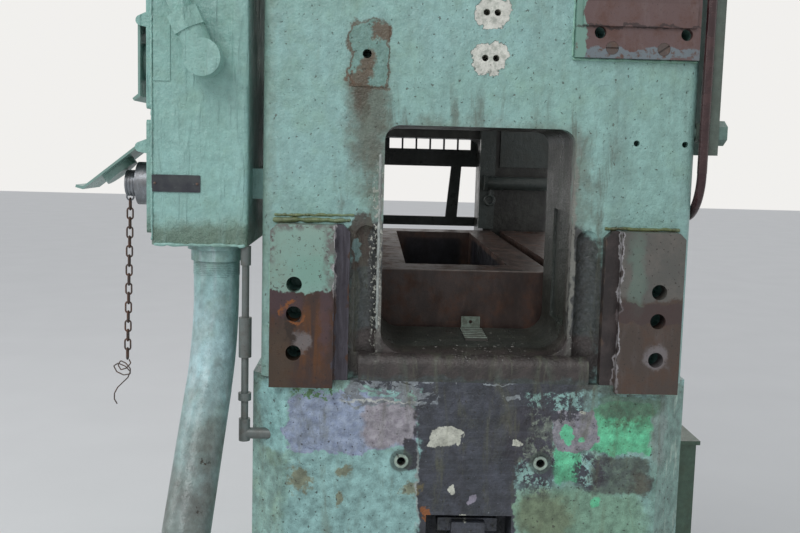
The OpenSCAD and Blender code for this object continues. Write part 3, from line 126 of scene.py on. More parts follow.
# The bed is one grey iron casting, brush painted sea green many times over. Oil has soaked a dark
# patch under the window, the paint has chipped to its lavender primer, and newer mint shows in places.
class Kit:
    """A node tree being put together, with short calls for what it is made of."""

    def __init__(self, tree):
        self.tree = tree

    def put(self, socket, value):
        if isinstance(value, bpy.types.NodeSocket):
            self.tree.links.new(value, socket)
        elif isinstance(value, tuple) and len(value) == 3 and socket.type == "RGBA":
            socket.default_value = (*value, 1)
        else:
            socket.default_value = value

    def node(self, kind, **sockets):
        made = self.tree.nodes.new("ShaderNode" + kind)
        for name, value in sockets.items():
            self.put(made.inputs[name.replace("_", " ")], value)
        return made

    def sums(self, operation, first, second=None):
        made = self.tree.nodes.new("ShaderNodeMath")
        made.operation = operation
        self.put(made.inputs[0], first)
        if second is not None:
            self.put(made.inputs[1], second)
        return made.outputs[0]

    def add(self, first, second):
        return self.sums("ADD", first, second)

    def times(self, first, second):
        return self.sums("MULTIPLY", first, second)

    def less(self, first, second):
        return self.sums("SUBTRACT", first, second)

    def most(self, *values):
        found = values[0]
        for value in values[1:]:
            found = self.sums("MAXIMUM", found, value)
        return found

    def arrow(self, operation, first, second):
        made = self.tree.nodes.new("ShaderNodeVectorMath")
        made.operation = operation
        self.put(made.inputs[0], first)
        self.put(made.inputs[1], second)
        return made.outputs[0]

    def ramp(self, value, low, high, to_low=0.0, to_high=1.0):
        made = self.tree.nodes.new("ShaderNodeMapRange")
        made.interpolation_type = "SMOOTHSTEP"
        for name, number in (("Value", value), ("From Min", low), ("From Max", high),
                             ("To Min", to_low), ("To Max", to_high)):
            self.put(made.inputs[name], number)
        return made.outputs["Result"]

    def blend(self, mask, under, over):
        made = self.tree.nodes.new("ShaderNodeMix")
        made.data_type = "RGBA"
        self.put(made.inputs[0], mask)
        self.put(made.inputs[6], under)
        self.put(made.inputs[7], over)
        return made.outputs[2]

    def lay(self, tone, mask, colour, share=1):
        return self.blend(mask if share == 1 else self.times(mask, share), tone, colour)

    def drift(self, value, low, high, under, over):
        return self.blend(self.ramp(value, low, high), under, over)

    def along(self, place, axis):
        return self.node("SeparateXYZ", Vector=place).outputs[axis]

    def shade(self, tone, strength):
        return self.node("HueSaturation", Color=tone, Value=strength).outputs["Color"]

    def grow(self, place, scale):
        made = self.tree.nodes.new("ShaderNodeVectorMath")
        made.operation = "SCALE"
        self.put(made.inputs[0], place)
        self.put(made.inputs["Scale"], scale)
        return made.outputs[0]

    def noise(self, place, scale, detail=3.0, rough=0.55, twist=0.0):
        return self.node("TexNoise", Vector=place, Scale=scale, Detail=detail, Roughness=rough,
            Distortion=twist).outputs["Fac"]

    def streaks(self, place, scales, detail=3.0, rough=0.55, twist=0.0):
        return self.noise(self.arrow("MULTIPLY", place, scales), 1.0, detail, rough, twist)

    def finish(self, color, rough, height, depth, metallic=0.0):
        """Leads colour, roughness, metal and bump height into the material's own shader."""
        ends = self.tree.nodes["Principled BSDF"].inputs
        self.put(ends["Base Color"], color)
        self.put(ends["Roughness"], rough)
        self.put(ends["Metallic"], metallic)
        bump = self.node("Bump", Height=height, Strength=1.0, Distance=depth)
        self.put(ends["Normal"], bump.outputs["Normal"])

    def effect(self, group, **sockets):
        made = self.tree.nodes.new("ShaderNodeGroup")
        made.node_tree = group
        for name, value in sockets.items():
            self.put(made.inputs[name.replace("_", " ")], value)
        return made.outputs


def shader_effect(name, takes, gives):
    group = bpy.data.node_groups.new(name, "ShaderNodeTree")
    for label, kind, value in takes:
        socket = group.interface.new_socket(label, in_out="INPUT", socket_type="NodeSocket" + kind)
        if value is not None:
            socket.default_value = value
    for label, kind in gives:
        group.interface.new_socket(label, in_out="OUTPUT", socket_type="NodeSocket" + kind)
    taken = group.nodes.new("NodeGroupInput").outputs
    given = group.nodes.new("NodeGroupOutput").inputs
    return group, Kit(group), taken, given


# A ragged patch: 1 inside a rounded box about a centre, 0 outside, its rim torn by a noise.
ragged_patch, kit, taken, given = shader_effect("ragged_patch",
    (("Place", "Vector", None), ("Centre", "Vector", (0, 0, 0)), ("Half", "Vector", (1, 1, 1)),
     ("Round", "Float", 2.5), ("Soft", "Float", 0.1), ("Torn", "Float", 0.5), ("Ragged", "Float", 0.5)),
     (("Mask", "Float"),))
share = kit.arrow("DIVIDE", kit.arrow("SUBTRACT", taken["Place"], taken["Centre"]), taken["Half"])
parts = kit.node("SeparateXYZ", Vector=share)
grown = [kit.sums("POWER", kit.sums("ABSOLUTE", parts.outputs[axis]), taken["Round"]) for axis in "XYZ"]
reach = kit.sums("POWER", kit.add(kit.add(grown[0], grown[1]), grown[2]),
    kit.sums("DIVIDE", 1.0, taken["Round"]))
reach = kit.add(reach, kit.times(taken["Ragged"], kit.less(taken["Torn"], 0.5)))
kit.put(given["Mask"], kit.ramp(reach, kit.less(1.0, taken["Soft"]), kit.add(1.0, taken["Soft"]), 1.0, 0.0))

# Old brush paint: three tones drifting into each other, runs, dirt in the pores and a lumpy skin.
old_paint, kit, taken, given = shader_effect("old_paint",
    (("Place", "Vector", None), ("Tone", "Color", (0.2, 0.35, 0.3, 1)),
     ("Cool", "Color", (0.2, 0.38, 0.36, 1)), ("Warm", "Color", (0.2, 0.28, 0.18, 1)),
     ("Dirt", "Color", (0.06, 0.06, 0.045, 1)), ("Grimy", "Float", 0.4)),
     (("Color", "Color"), ("Height", "Float"), ("Roughness", "Float")))
broad = kit.noise(taken["Place"], 4.0, 4.0, 0.6)
runs = kit.streaks(taken["Place"], (26, 26, 3.2), 4.0, 0.6, 0.4)
cloud = kit.noise(taken["Place"], 22.0, 6.0, 0.7)
pores = kit.noise(taken["Place"], 420.0, 2.0, 0.6)
lumps = kit.noise(taken["Place"], 85.0, 3.0, 0.5)
tone = kit.drift(broad, 0.38, 0.62, taken["Tone"], taken["Cool"])
tone = kit.lay(tone, kit.ramp(cloud, 0.46, 0.72), taken["Warm"], 0.45)
tone = kit.blend(kit.times(kit.ramp(runs, 0.5, 0.78), taken["Grimy"]), tone, taken["Dirt"])
pits = kit.times(kit.ramp(pores, 0.62, 0.76), kit.add(kit.times(taken["Grimy"], 0.9), 0.12))
kit.put(given["Color"], kit.blend(kit.times(pits, 0.75), tone, taken["Dirt"]))
height = kit.add(kit.times(lumps, 0.55), kit.times(kit.noise(taken["Place"], 260.0, 2.0), 0.2))
kit.put(given["Height"], kit.less(height, kit.times(pits, 0.3)))
kit.put(given["Roughness"], kit.ramp(cloud, 0.3, 0.7, 0.26, 0.42))

# Rubbed or rusted bare metal: a dark skin with orange bloom, brighter rubbed streaks and black specks.
bare_metal, kit, taken, given = shader_effect("bare_metal",
    (("Place", "Vector", None), ("Skin", "Color", (0.07, 0.05, 0.05, 1)),
     ("Rust", "Color", (0.13, 0.045, 0.015, 1)), ("Bright", "Color", (0.2, 0.18, 0.19, 1)),
     ("Rusty", "Float", 0.4), ("Rubbed", "Float", 0.3), ("Size", "Float", 1.0)),
     (("Color", "Color"), ("Height", "Float"), ("Roughness", "Float"), ("Metallic", "Float")))
near = kit.grow(taken["Place"], taken["Size"])
bloom = kit.noise(near, 30.0, 6.0, 0.7)
rub = kit.streaks(near, (60, 60, 18), 5.0, 0.65)
speck = kit.noise(near, 400.0, 2.0, 0.6)
rusted = kit.times(kit.ramp(bloom, 0.42, 0.68), taken["Rusty"])
rubbed = kit.times(kit.ramp(rub, 0.5, 0.8), taken["Rubbed"])
tone = kit.blend(rusted, taken["Skin"], taken["Rust"])
tone = kit.blend(rubbed, tone, taken["Bright"])
kit.put(given["Color"], kit.blend(kit.times(kit.ramp(speck, 0.6, 0.75), 0.5), tone, (0.02, 0.015, 0.015)))
kit.put(given["Height"], kit.add(kit.times(bloom, 0.6), kit.times(speck, 0.35)))
kit.put(given["Roughness"], kit.ramp(kit.add(rusted, kit.times(speck, 0.3)), 0.1, 0.9, 0.36, 0.7))
kit.put(given["Metallic"], kit.ramp(rubbed, 0.0, 0.6, 0.1, 0.6))


def brushed(kit, place, tone, cool, warm, dirt, grimy):
    """Old brush paint in its own tones."""
    return kit.effect(old_paint, Place=place, Tone=tone, Cool=cool, Warm=warm, Dirt=dirt, Grimy=grimy)


def rubbed_metal(kit, place, skin, rust, bright, rusty, rubbed, size):
    """Bare metal in its own tones."""
    return kit.effect(bare_metal, Place=place, Skin=skin, Rust=rust, Bright=bright, Rusty=rusty,
        Rubbed=rubbed, Size=size)


def weather_and_glints(kit, place, tone, dirt, strength):
    """Breaks a paint's evenness: cloudy tone, soft dirt in streaks, dark pin holes, and pale specks that are
    painted glints.
    """
    cloud = kit.noise(place, 75.0, 6.0, 0.72)
    tone = kit.shade(tone, kit.ramp(cloud, 0.28, 0.72, 1.0 - 0.42 * strength, 1.0 + 0.34 * strength))
    smear = kit.streaks(place, (38, 38, 9), 6.0, 0.7, 0.6)
    tone = kit.blend(kit.times(kit.ramp(smear, 0.5, 0.74), 0.55 * strength), tone, dirt)
    specks_and_glints = kit.noise(place, 300.0, 4.0, 0.6)
    tone = kit.blend(kit.times(kit.ramp(specks_and_glints, 0.62, 0.66), 0.75 * strength), tone, kit.shade(tone, 0.38))
    # Pale specks: painted glints, standing in for light caught on lumps and drips of paint.
    painted_glints = kit.ramp(specks_and_glints, 0.37, 0.33)
    return kit.blend(kit.times(painted_glints, 0.65 * strength), tone, kit.shade(tone, 1.55)), specks_and_glints


def dress(material, *nodes):
    """Gives whole CAD nodes one material."""
    for node in nodes:
        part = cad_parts[node]
        part.data.materials.clear()
        part.data.materials.append(material)


def fresh(name):
    made, tree = own_material(name)[:2]
    kit = Kit(tree)
    return made, kit, kit.node("TexCoord").outputs["Object"]


def patched(name, face_x, half_x):
    """A material whose part has torn patches on its face across X: itself, its kit, the place on
    the part, three noises, the mask of one patch, and a call that lays many on a tone."""
    made, kit, place = fresh(name)
    aside = kit.times(kit.less(kit.noise(place, 48.0, 5.0, 0.6), 0.5), 0.026)
    upward = kit.times(kit.less(kit.noise(kit.arrow("ADD", place, (3, 5, 7)), 48.0, 5.0, 0.6), 0.5), 0.026)
    pushed = kit.arrow("ADD", place, kit.node("CombineXYZ", Y=aside, Z=upward).outputs[0])
    torn = {"broad": kit.noise(place, 14.0, 6.0, 0.62), "mid": kit.noise(place, 34.0, 7.0, 0.68),
            "fine": kit.noise(place, 130.0, 5.0, 0.66)}

    def patch(y, z, half_y, half_z, soft=0.12, ragged=0.6, torn_by="mid", corner=2.5):
        return kit.effect(ragged_patch, Place=pushed, Centre=(face_x, y, z), Half=(half_x, half_y, half_z),
            Round=corner, Soft=soft, Torn=torn[torn_by], Ragged=ragged)["Mask"]

    def stains(tone, *rows):
        """Lays rows of colour, share and what patch takes on a tone, one over the other."""
        for colour, share, *spot in rows:
            tone = kit.lay(tone, patch(*spot), colour, share)
        return tone

    return made, kit, place, torn, patch, stains


SEA_GREEN = (0.24, 0.41, 0.365)
MINT = (0.14, 0.6, 0.34)
PRIMER = (0.245, 0.3, 0.425)
CHIP_GREY = (0.225, 0.255, 0.275)
BONE = (0.5, 0.51, 0.44)

bed_finish, kit, bed_place, torn, patch, stains = patched("bed_paint", 0.63, 0.09)
skin = brushed(kit, bed_place, SEA_GREEN, (0.262, 0.465, 0.455), (0.22, 0.3, 0.16), (0.06, 0.06, 0.045), 0.45)
tone = skin["Color"]

# The paint left of the window is turquoise and smooth, right of it greener, with pale runs down its edge.
tone = stains(
    tone,
    ((0.255, 0.445, 0.43), 1, -0.154, 0.6, 0.09, 0.086, 0.1, 0.5, "broad", 6),
    ((0.275, 0.495, 0.48), 1, -0.262, 0.728, 0.0195, 0.046, 0.1, 0.4, "mid", 5),
    ((0.185, 0.33, 0.24), 1, 0.15, 0.59, 0.09, 0.05, 0.2, 0.9, "broad", 4),
    ((0.13, 0.125, 0.055), 0.6, 0.1, 0.6, 0.036, 0.034, 0.35, 1.4, "mid"),
    ((0.18, 0.31, 0.27), 1, 0.268, 0.66, 0.028, 0.13, 0.12, 0.5, "mid", 5))
edge_runs = kit.streaks(bed_place, (60, 120, 14), 4.0, 0.6, 0.4)
run_zone = patch(0.277, 0.665, 0.014, 0.125, 0.2, 0.4, "mid", 5)
tone = kit.blend(kit.times(kit.ramp(edge_runs, 0.56, 0.64), kit.times(run_zone, 0.8)), tone,
    (0.36, 0.49, 0.42))

# Newer mint shows where the green came off on the right, under a film of grime at its top.
mint_patch = kit.most(patch(0.199, 0.722, 0.042, 0.035, 0.05, 0.45, "mid", 9),
    patch(0.126, 0.67, 0.018, 0.024, 0.09, 0.9, "mid", 4),
    patch(0.169, 0.622, 0.008, 0.006, 0.08, 1.2, "fine"))
tone = kit.blend(mint_patch, tone, kit.drift(torn["mid"], 0.42, 0.62, MINT, (0.105, 0.4, 0.225)))
soiled = kit.times(patch(0.205, 0.736, 0.036, 0.017, 0.5, 1.5, "mid", 3), kit.ramp(torn["fine"], 0.36, 0.6))
tone = kit.lay(tone, soiled, (0.065, 0.11, 0.062), 0.8)
tone = stains(
    tone,
    ((0.205, 0.275, 0.255), 0.8, 0.25, 0.712, 0.011, 0.04, 0.35, 0.9, "mid", 4),
    ((0.075, 0.135, 0.09), 0.85, 0.205, 0.752, 0.05, 0.017, 0.25, 1.2, "mid"),
    (kit.drift(torn["fine"], 0.38, 0.62, (0.095, 0.112, 0.1), (0.19, 0.225, 0.185)), 1, 0.077, 0.7115, 0.034,
     0.036, 0.06, 0.8, "mid", 4),
    (kit.drift(torn["fine"], 0.35, 0.65, (0.225, 0.222, 0.262), (0.285, 0.28, 0.3)), 1, 0.1365, 0.7185, 0.03,
     0.0275, 0.03, 0.6, "mid", 5))
islands = kit.most(patch(0.1275, 0.713, 0.0085, 0.011, 0.06, 0.9, "fine"),
    patch(0.1465, 0.707, 0.006, 0.005, 0.06, 0.7, "fine"))
tone = kit.blend(islands, tone, MINT)
panel_tone = kit.drift(torn["mid"], 0.36, 0.66, (0.046, 0.054, 0.052), (0.098, 0.135, 0.11))
panel_tone = kit.lay(panel_tone, kit.ramp(torn["fine"], 0.5, 0.62), (0.125, 0.175, 0.13), 0.6)
panel_tone = stains(panel_tone, ((0.07, 0.05, 0.03), 0.7, 0.226, 0.648, 0.01, 0.016, 0.5, 1.6, "fine"))
tone = stains(tone, (panel_tone, 0.93, 0.2, 0.657, 0.04, 0.0265, 0.09, 0.5, "mid", 8))

# The lavender primer lies bare under the left pad, pinkish to the right, and its rim is torn sharp.
primer_patch = kit.most(patch(-0.191, 0.7225, 0.053, 0.041, 0.02, 0.7, "mid", 5),
    patch(-0.112, 0.7235, 0.042, 0.032, 0.02, 0.8, "mid", 5))
primer_tone = kit.drift(torn["fine"], 0.35, 0.68, PRIMER, (0.29, 0.345, 0.44))
primer_tone = stains(
    primer_tone,
    (kit.drift(torn["fine"], 0.4, 0.65, (0.315, 0.3, 0.33), (0.25, 0.23, 0.265)), 1, -0.107, 0.7235, 0.037,
     0.031, 0.1, 0.6, "mid", 4))
tone = kit.blend(primer_patch, tone, primer_tone)

# Oil has soaked in under the window. Its straight edged part below, where the lug's recess begins, is painted
# shadow in that recess.
spatter = kit.ramp(kit.noise(bed_place, 95.0, 6.0, 0.72), 0.44, 0.52)
oil_and_recess_shade = kit.most(patch(0.0, 0.806, 0.165, 0.037, 0.05, 0.35, "mid", 6),
    patch(0.0, 0.742, 0.072, 0.062, 0.04, 0.55, "mid", 5),
    kit.times(spatter, patch(0.088, 0.752, 0.066, 0.032, 0.25, 0.9, "mid", 3)),
    kit.times(spatter, patch(0.085, 0.676, 0.028, 0.046, 0.3, 0.9, "mid", 3)),
    kit.times(spatter, patch(0.158, 0.664, 0.026, 0.026, 0.35, 1.2, "mid", 3)),
    # Painted shadow in the lug's recess.
    patch(-0.0035, 0.6, 0.0655, 0.095, 0.02, 0.08, "fine", 9),
    patch(-0.08, 0.681, 0.012, 0.017, 0.1, 1.1, "mid"))
oil_and_shade_tone = kit.drift(torn["mid"], 0.32, 0.7, (0.021, 0.02, 0.029), (0.048, 0.048, 0.068))
wipe = kit.streaks(bed_place, (30, 7, 240), 5.0, 0.7, 0.5)
oil_and_shade_tone = kit.lay(oil_and_shade_tone, kit.ramp(wipe, 0.48, 0.72), (0.066, 0.068, 0.092), 0.55)
oil_speck = kit.noise(bed_place, 330.0, 3.0, 0.6)
oil_and_shade_tone = kit.drift(oil_speck, 0.7, 0.73, oil_and_shade_tone, (0.2, 0.21, 0.24))
oil_and_shade_tone = kit.lay(oil_and_shade_tone, kit.ramp(oil_speck, 0.36, 0.3), (0.015, 0.014, 0.02), 0.8)
tone = kit.lay(tone, oil_and_recess_shade, oil_and_shade_tone, 0.97)
tone = stains(
    tone,
    (kit.drift(torn["fine"], 0.42, 0.7, (0.05, 0.036, 0.035), (0.1, 0.078, 0.072)), 0.9, 0.0, 0.822, 0.2,
     0.0135, 0.15, 0.35, "mid", 6))

# Above the primer two bands of paint have chipped grey to their ground, with dark shards between.
bands = kit.most(patch(-0.102, 0.7895, 0.062, 0.0125, 0.05, 0.9, "mid", 5),
    patch(-0.1075, 0.761, 0.06, 0.0155, 0.05, 0.9, "mid", 5))
shard_place = kit.arrow("MULTIPLY", bed_place, (1.0, 1.0, 1.9))
shards = kit.ramp(kit.noise(shard_place, 42.0, 5.0, 0.62, 0.9), 0.47, 0.49)
shard_tone = kit.drift(torn["fine"], 0.38, 0.66, CHIP_GREY, (0.15, 0.165, 0.185))
tone = kit.blend(kit.times(bands, shards), tone, shard_tone)
tone = stains(tone, ((0.42, 0.44, 0.42), 1, -0.12, 0.7515, 0.046, 0.0011, 0.4, 0.5, "fine", 6))
marks = kit.streaks(bed_place, (90, 190, 40), 3.0, 0.6)
tone = kit.blend(kit.times(kit.ramp(marks, 0.52, 0.56),
    patch(-0.0195, 0.7895, 0.0085, 0.0105, 0.2, 0.6, "fine")), tone, (0.34, 0.36, 0.37))

# Single chips go down to a bone coloured ground, and moss green and rust sit in the corners.
for chip_y, chip_z, half_y, half_z, chip_tone in (
        (-0.034, 0.704, 0.0175, 0.0135, BONE), (0.052, 0.761, 0.0125, 0.0042, CHIP_GREY),
        (0.133, 0.7975, 0.0165, 0.0045, BONE), (0.043, 0.778, 0.028, 0.001, CHIP_GREY),
        (0.06, 0.7, 0.006, 0.006, BONE), (0.148, 0.741, 0.0045, 0.0035, BONE),
        (-0.058, 0.6, 0.006, 0.01, (0.22, 0.075, 0.02)), (-0.022, 0.635, 0.0035, 0.006, BONE),
        (0.004, 0.62, 0.004, 0.005, (0.25, 0.23, 0.29)), (-0.008, 0.595, 0.006, 0.0045, BONE)):
    chip = patch(chip_y, chip_z, half_y, half_z, 0.06, 2.4, "mid")
    tone = kit.blend(chip, tone, chip_tone)
for stain_y, stain_z, half_y, half_z in ((-0.2265, 0.647, 0.014, 0.017), (-0.1675, 0.6585, 0.009, 0.0075),
                                         (-0.1715, 0.617, 0.004, 0.01), (-0.077, 0.636, 0.013, 0.0095)):
    stain = patch(stain_y, stain_z, half_y, half_z, 0.3, 2.6, "fine")
    tone = kit.blend(kit.times(stain, 0.75), tone, (0.165, 0.135, 0.055))
moss = kit.times(kit.ramp(kit.noise(bed_place, 150.0, 3.0, 0.6), 0.52, 0.56),
    patch(-0.207, 0.764, 0.032, 0.0085, 0.2, 0.8, "fine", 5))
tone = kit.blend(moss, tone, (0.075, 0.165, 0.07))
# The first two rows are dark bands just under the feed pads: painted shadow cast by the pads.
tone = stains(
    tone,
    ((0.06, 0.075, 0.058), 0.85, 0.215, 0.782, 0.062, 0.014, 0.3, 0.8, "mid", 5),
    ((0.06, 0.075, 0.058), 0.8, -0.225, 0.782, 0.06, 0.01, 0.3, 0.8, "mid", 5),
    ((0.33, 0.36, 0.35), 0.7, -0.0695, 0.64, 0.0016, 0.046, 0.4, 0.6, "fine", 6))

# The two tapped bosses of the feed end are rubbed pale round their holes, in a dark oily ring, and the holes
# themselves are painted dark as painted shade.
for boss_y in (-0.092, 0.092):
    away = kit.arrow("SUBTRACT", bed_place, (0.639, boss_y, 0.6735))
    apart = kit.node("SeparateXYZ", Vector=kit.arrow("MULTIPLY", away, away))
    spread = kit.sums("SQRT", kit.add(apart.outputs["Y"], apart.outputs["Z"]))
    spread = kit.add(spread, kit.times(kit.less(torn["fine"], 0.5), 0.003))
    here = kit.ramp(kit.along(bed_place, "X"), 0.625, 0.63)
    tone = kit.blend(kit.times(kit.ramp(spread, 0.0165, 0.0135), kit.times(here, 0.75)), tone,
        (0.06, 0.085, 0.072))
    tone = kit.blend(kit.times(kit.ramp(spread, 0.0098, 0.0088), here), tone, (0.29, 0.37, 0.31))
    tone = kit.blend(kit.times(kit.ramp(spread, 0.0063, 0.0053), here), tone, (0.03, 0.032, 0.028))

# Small dark pocks are scattered over all of it, and the weather layer adds pale specks that are painted
# glints.
pocks = kit.ramp(kit.noise(bed_place, 190.0, 3.0, 0.55), 0.66, 0.69)
tone = kit.lay(tone, pocks, (0.05, 0.045, 0.038), 0.75)
tone, specks_and_glints = weather_and_glints(kit, bed_place, tone, (0.115, 0.12, 0.07), 1.0)
bed_rough = kit.blend(oil_and_recess_shade, skin["Roughness"], (0.4, 0.4, 0.4))
bed_height = kit.less(kit.less(skin["Height"], pocks), kit.times(specks_and_glints, 0.6))
kit.finish(tone, bed_rough, bed_height, 0.0026)
dress(bed_finish, "bed")


# The two uprights are hollow iron columns clamped between bed and crown. The feed-end one carries
# every fitting in view: its paint is stained brown round the window and scraped white at two hole pairs.
column_finish, kit, column_place, torn, patch, stains = patched("column_paint", 0.622, 0.05)
skin = brushed(kit, column_place, (0.25, 0.43, 0.39), (0.265, 0.45, 0.43), (0.225, 0.375, 0.29),
    (0.09, 0.105, 0.078), 0.3)
tone = skin["Color"]

# Grime creeps in from the edges and rings the window; low down it is solid brown black.
tone = stains(
    tone,
    ((0.145, 0.205, 0.16), 0.6, -0.29, 1.1, 0.022, 0.4, 0.4, 0.8, "mid", 3),
    ((0.115, 0.118, 0.086), 0.56, 0.0, 0.963, 0.143, 0.153, 0.1, 0.45, "mid", 7))
low_grime = patch(0.0, 0.875, 0.176, 0.112, 0.07, 0.55, "mid", 6)
tone = kit.lay(tone, low_grime, kit.drift(torn["fine"], 0.4, 0.66, (0.016, 0.013, 0.013),
    (0.044, 0.043, 0.048)), 0.94)
tone = stains(
    tone,
    (kit.drift(torn["mid"], 0.4, 0.66, (0.026, 0.021, 0.02), (0.054, 0.042, 0.04)), 0.93, 0.0, 0.815, 0.17,
     0.03, 0.1, 0.5, "mid", 8))
swarf = kit.times(kit.ramp(kit.noise(column_place, 520.0, 2.0, 0.5), 0.67, 0.69),
    patch(0.02, 0.835, 0.11, 0.022, 0.3, 0.9, "mid"))
tone = kit.blend(swarf, tone, (0.55, 0.56, 0.52))
tone = stains(
    tone,
    ((0.045, 0.03, 0.022), 0.92, -0.1525, 0.963, 0.0135, 0.036, 0.1, 1.0, "mid", 4),
    ((0.13, 0.205, 0.2), 1, -0.1545, 0.9495, 0.0055, 0.0135, 0.12, 1.2, "fine"))
rust_run = patch(-0.146, 1.125, 0.026, 0.085, 0.5, 1.5, "mid", 2.2)
tone = kit.lay(tone, rust_run, (0.095, 0.092, 0.066), 0.8)
tone = stains(tone, ((0.06, 0.035, 0.018), 0.8, -0.153, 1.16, 0.01, 0.04, 0.5, 1.2, "fine", 2.2))
cheeks = kit.streaks(column_place, (34, 46, 8), 5.0, 0.65, 0.5)
cheek_zone = patch(0.0, 0.955, 0.185, 0.2, 0.15, 0.5, "mid", 6)
tone = kit.blend(kit.times(kit.ramp(cheeks, 0.5, 0.66), kit.times(cheek_zone, 0.6)), tone,
    (0.088, 0.09, 0.064))

# A plate once stood left of the window's top: its ground is a cleaner mint, rimmed and spotted with rust.
tone = stains(
    tone,
    ((0.095, 0.062, 0.036), 0.9, -0.145, 1.1995, 0.0265, 0.043, 0.06, 0.35, "fine", 8),
    (kit.drift(torn["fine"], 0.35, 0.65, (0.135, 0.25, 0.215), (0.175, 0.315, 0.285)), 1, -0.1445, 1.2003,
     0.0235, 0.0395, 0.03, 0.3, "fine", 8))
patch_rust = kit.most(patch(-0.13, 1.227, 0.013, 0.012, 0.2, 1.6, "fine"),
    patch(-0.159, 1.169, 0.014, 0.009, 0.2, 1.6, "fine"), patch(-0.148, 1.187, 0.01, 0.018, 0.3, 1.3, "fine"))
tone = kit.lay(tone, patch_rust, (0.105, 0.055, 0.028), 0.85)

# Two spots round small holes were scraped to the white filler for a clean seat.
scraped = kit.most(patch(0.0095, 1.256, 0.0215, 0.0185, 0.03, 0.75, "fine", 2.6),
    patch(0.0075, 1.199, 0.0225, 0.0205, 0.03, 0.8, "fine", 2.6))
tone = kit.blend(scraped, tone, kit.drift(torn["fine"], 0.42, 0.66, (0.64, 0.64, 0.58), (0.4, 0.42, 0.37)))
# Pale lines down the window's edge ribs: worn pale paint, and painted highlight along the ribs' edges.
jamb_rib_pale_and_highlight = kit.most(patch(0.1255, 0.96, 0.003, 0.125, 0.4, 0.5, "fine", 4),
    patch(-0.1255, 0.95, 0.0028, 0.115, 0.4, 0.8, "fine", 4))
tone = kit.lay(tone, jamb_rib_pale_and_highlight, (0.2, 0.2, 0.178), 0.8)
filler_crumbs = kit.times(kit.ramp(kit.noise(column_place, 240.0, 3.0, 0.6), 0.56, 0.6),
    patch(-0.131, 0.935, 0.0065, 0.11, 0.3, 0.8, "fine", 4))
tone = kit.blend(filler_crumbs, tone, (0.42, 0.43, 0.38))

# The window's own walls and the back of the column are painted near black, as painted shade inside the
# opening and the column.
back = kit.along(column_place, "X")
window_walls_shade = kit.effect(ragged_patch, Place=column_place, Centre=(0.42, 0.0, 0.978), Half=(0.188, 0.15, 0.18),
    Round=9.0, Soft=0.03, Torn=torn["mid"], Ragged=0.1)["Mask"]
inside = kit.most(window_walls_shade, kit.ramp(back, 0.435, 0.425))
tone = kit.lay(tone, inside, kit.drift(torn["mid"], 0.4, 0.65, (0.022, 0.021, 0.018), (0.046, 0.046, 0.038)),
    0.95)
pocks = kit.ramp(kit.noise(column_place, 180.0, 3.0, 0.55), 0.67, 0.7)
tone = kit.lay(tone, pocks, (0.075, 0.07, 0.052), 0.7)
tone, specks_and_glints = weather_and_glints(kit, column_place, tone, (0.145, 0.19, 0.14), 0.42)
column_rough = kit.blend(kit.times(low_grime, 0.7), skin["Roughness"], (0.42, 0.42, 0.42))
column_height = kit.less(skin["Height"], kit.most(kit.times(scraped, 0.8), kit.times(pocks, 0.6)))
column_height = kit.add(column_height, kit.times(rust_run, kit.times(torn["fine"], 0.9)))
column_height = kit.less(column_height, kit.times(specks_and_glints, 0.5))
kit.finish(tone, column_rough, column_height, 0.0024)
dress(column_finish, "right_upright")


def strand(name, stops, halves, finish, body):
    """A run of wire, sealer or paint along stops, each with its own half thickness."""
    bpy.ops.object.select_all(action="DESELECT")
    bpy.ops.mesh.primitive_plane_add(size=0.001, location=stops[0])
    piece = bpy.context.active_object
    piece.name = name
    bpy.ops.object.transform_apply(location=True, rotation=True, scale=True)
    bpy.ops.object.mode_set(mode="EDIT")
    bpy.ops.mesh.select_all(action="SELECT")
    bpy.ops.mesh.merge(type="CENTER")
    for here, there in zip(stops, stops[1:]):
        bpy.ops.mesh.extrude_vertices_move(TRANSFORM_OT_translate={"value": Vector(there) - Vector(here)})
    bpy.ops.object.mode_set(mode="OBJECT")
    bpy.ops.object.modifier_add(type="SKIN")
    for spot, half in zip(piece.data.skin_vertices[0].data, halves):
        spot.radius = (half, half)
    bpy.ops.object.modifier_apply(modifier=piece.modifiers[0].name)
    bpy.ops.object.modifier_add(type="SUBSURF")
    piece.modifiers[0].levels = 1
    piece.modifiers[0].render_levels = 1
    bpy.ops.object.modifier_apply(modifier=piece.modifiers[0].name)
    bpy.ops.object.mode_set(mode="EDIT")
    bpy.ops.mesh.select_all(action="SELECT")
    bpy.ops.mesh.normals_make_consistent(inside=False)
    bpy.ops.object.mode_set(mode="OBJECT")
    bpy.ops.object.shade_smooth()
    piece.data.materials.append(finish)
    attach(piece, body)
    return piece


def uneven_bead(name, start, end, half, finish, seed, body="frame"):
    """A strand along a straight edge of the press, swollen and thinned as a brush or a gun leaves it."""
    chance = random.Random(seed)
    start, way = Vector(start), Vector(end) - Vector(start)
    count = max(8, round(way.length / (half * 1.7)))
    halves = [half * chance.uniform(0.55, 1.25) for _ in range(count + 1)]
    stops = [start + way * (step / count) + Vector([chance.uniform(-0.25,
        0.25) * half for _ in range(3)]) for step in range(count + 1)]
    return strand(name, stops, halves, finish, body)


def painted(name, tone, cool, warm, grimy=0.35, dirt=(0.06, 0.06, 0.045), depth=0.001):
    """A finish of old brush paint all over, without patches of its own."""
    made, kit, place = fresh(name)
    skin = brushed(kit, place, tone, cool, warm, dirt, grimy)
    tone, specks_and_glints = weather_and_glints(kit, place, skin["Color"], dirt, 0.5)
    kit.finish(tone, skin["Roughness"], kit.less(skin["Height"], kit.times(specks_and_glints, 0.4)), depth)
    return made


crumbly_paint = painted("crumbly_paint", (0.27, 0.3, 0.28), (0.34, 0.37, 0.35), (0.12, 0.12, 0.1), 0.9,
    (0.045, 0.045, 0.045), 0.002)
uneven_bead("window_rim_bead", (0.6215, -0.1285, 0.846), (0.6215, -0.128, 1.075), 0.0022, crumbly_paint,
            3)
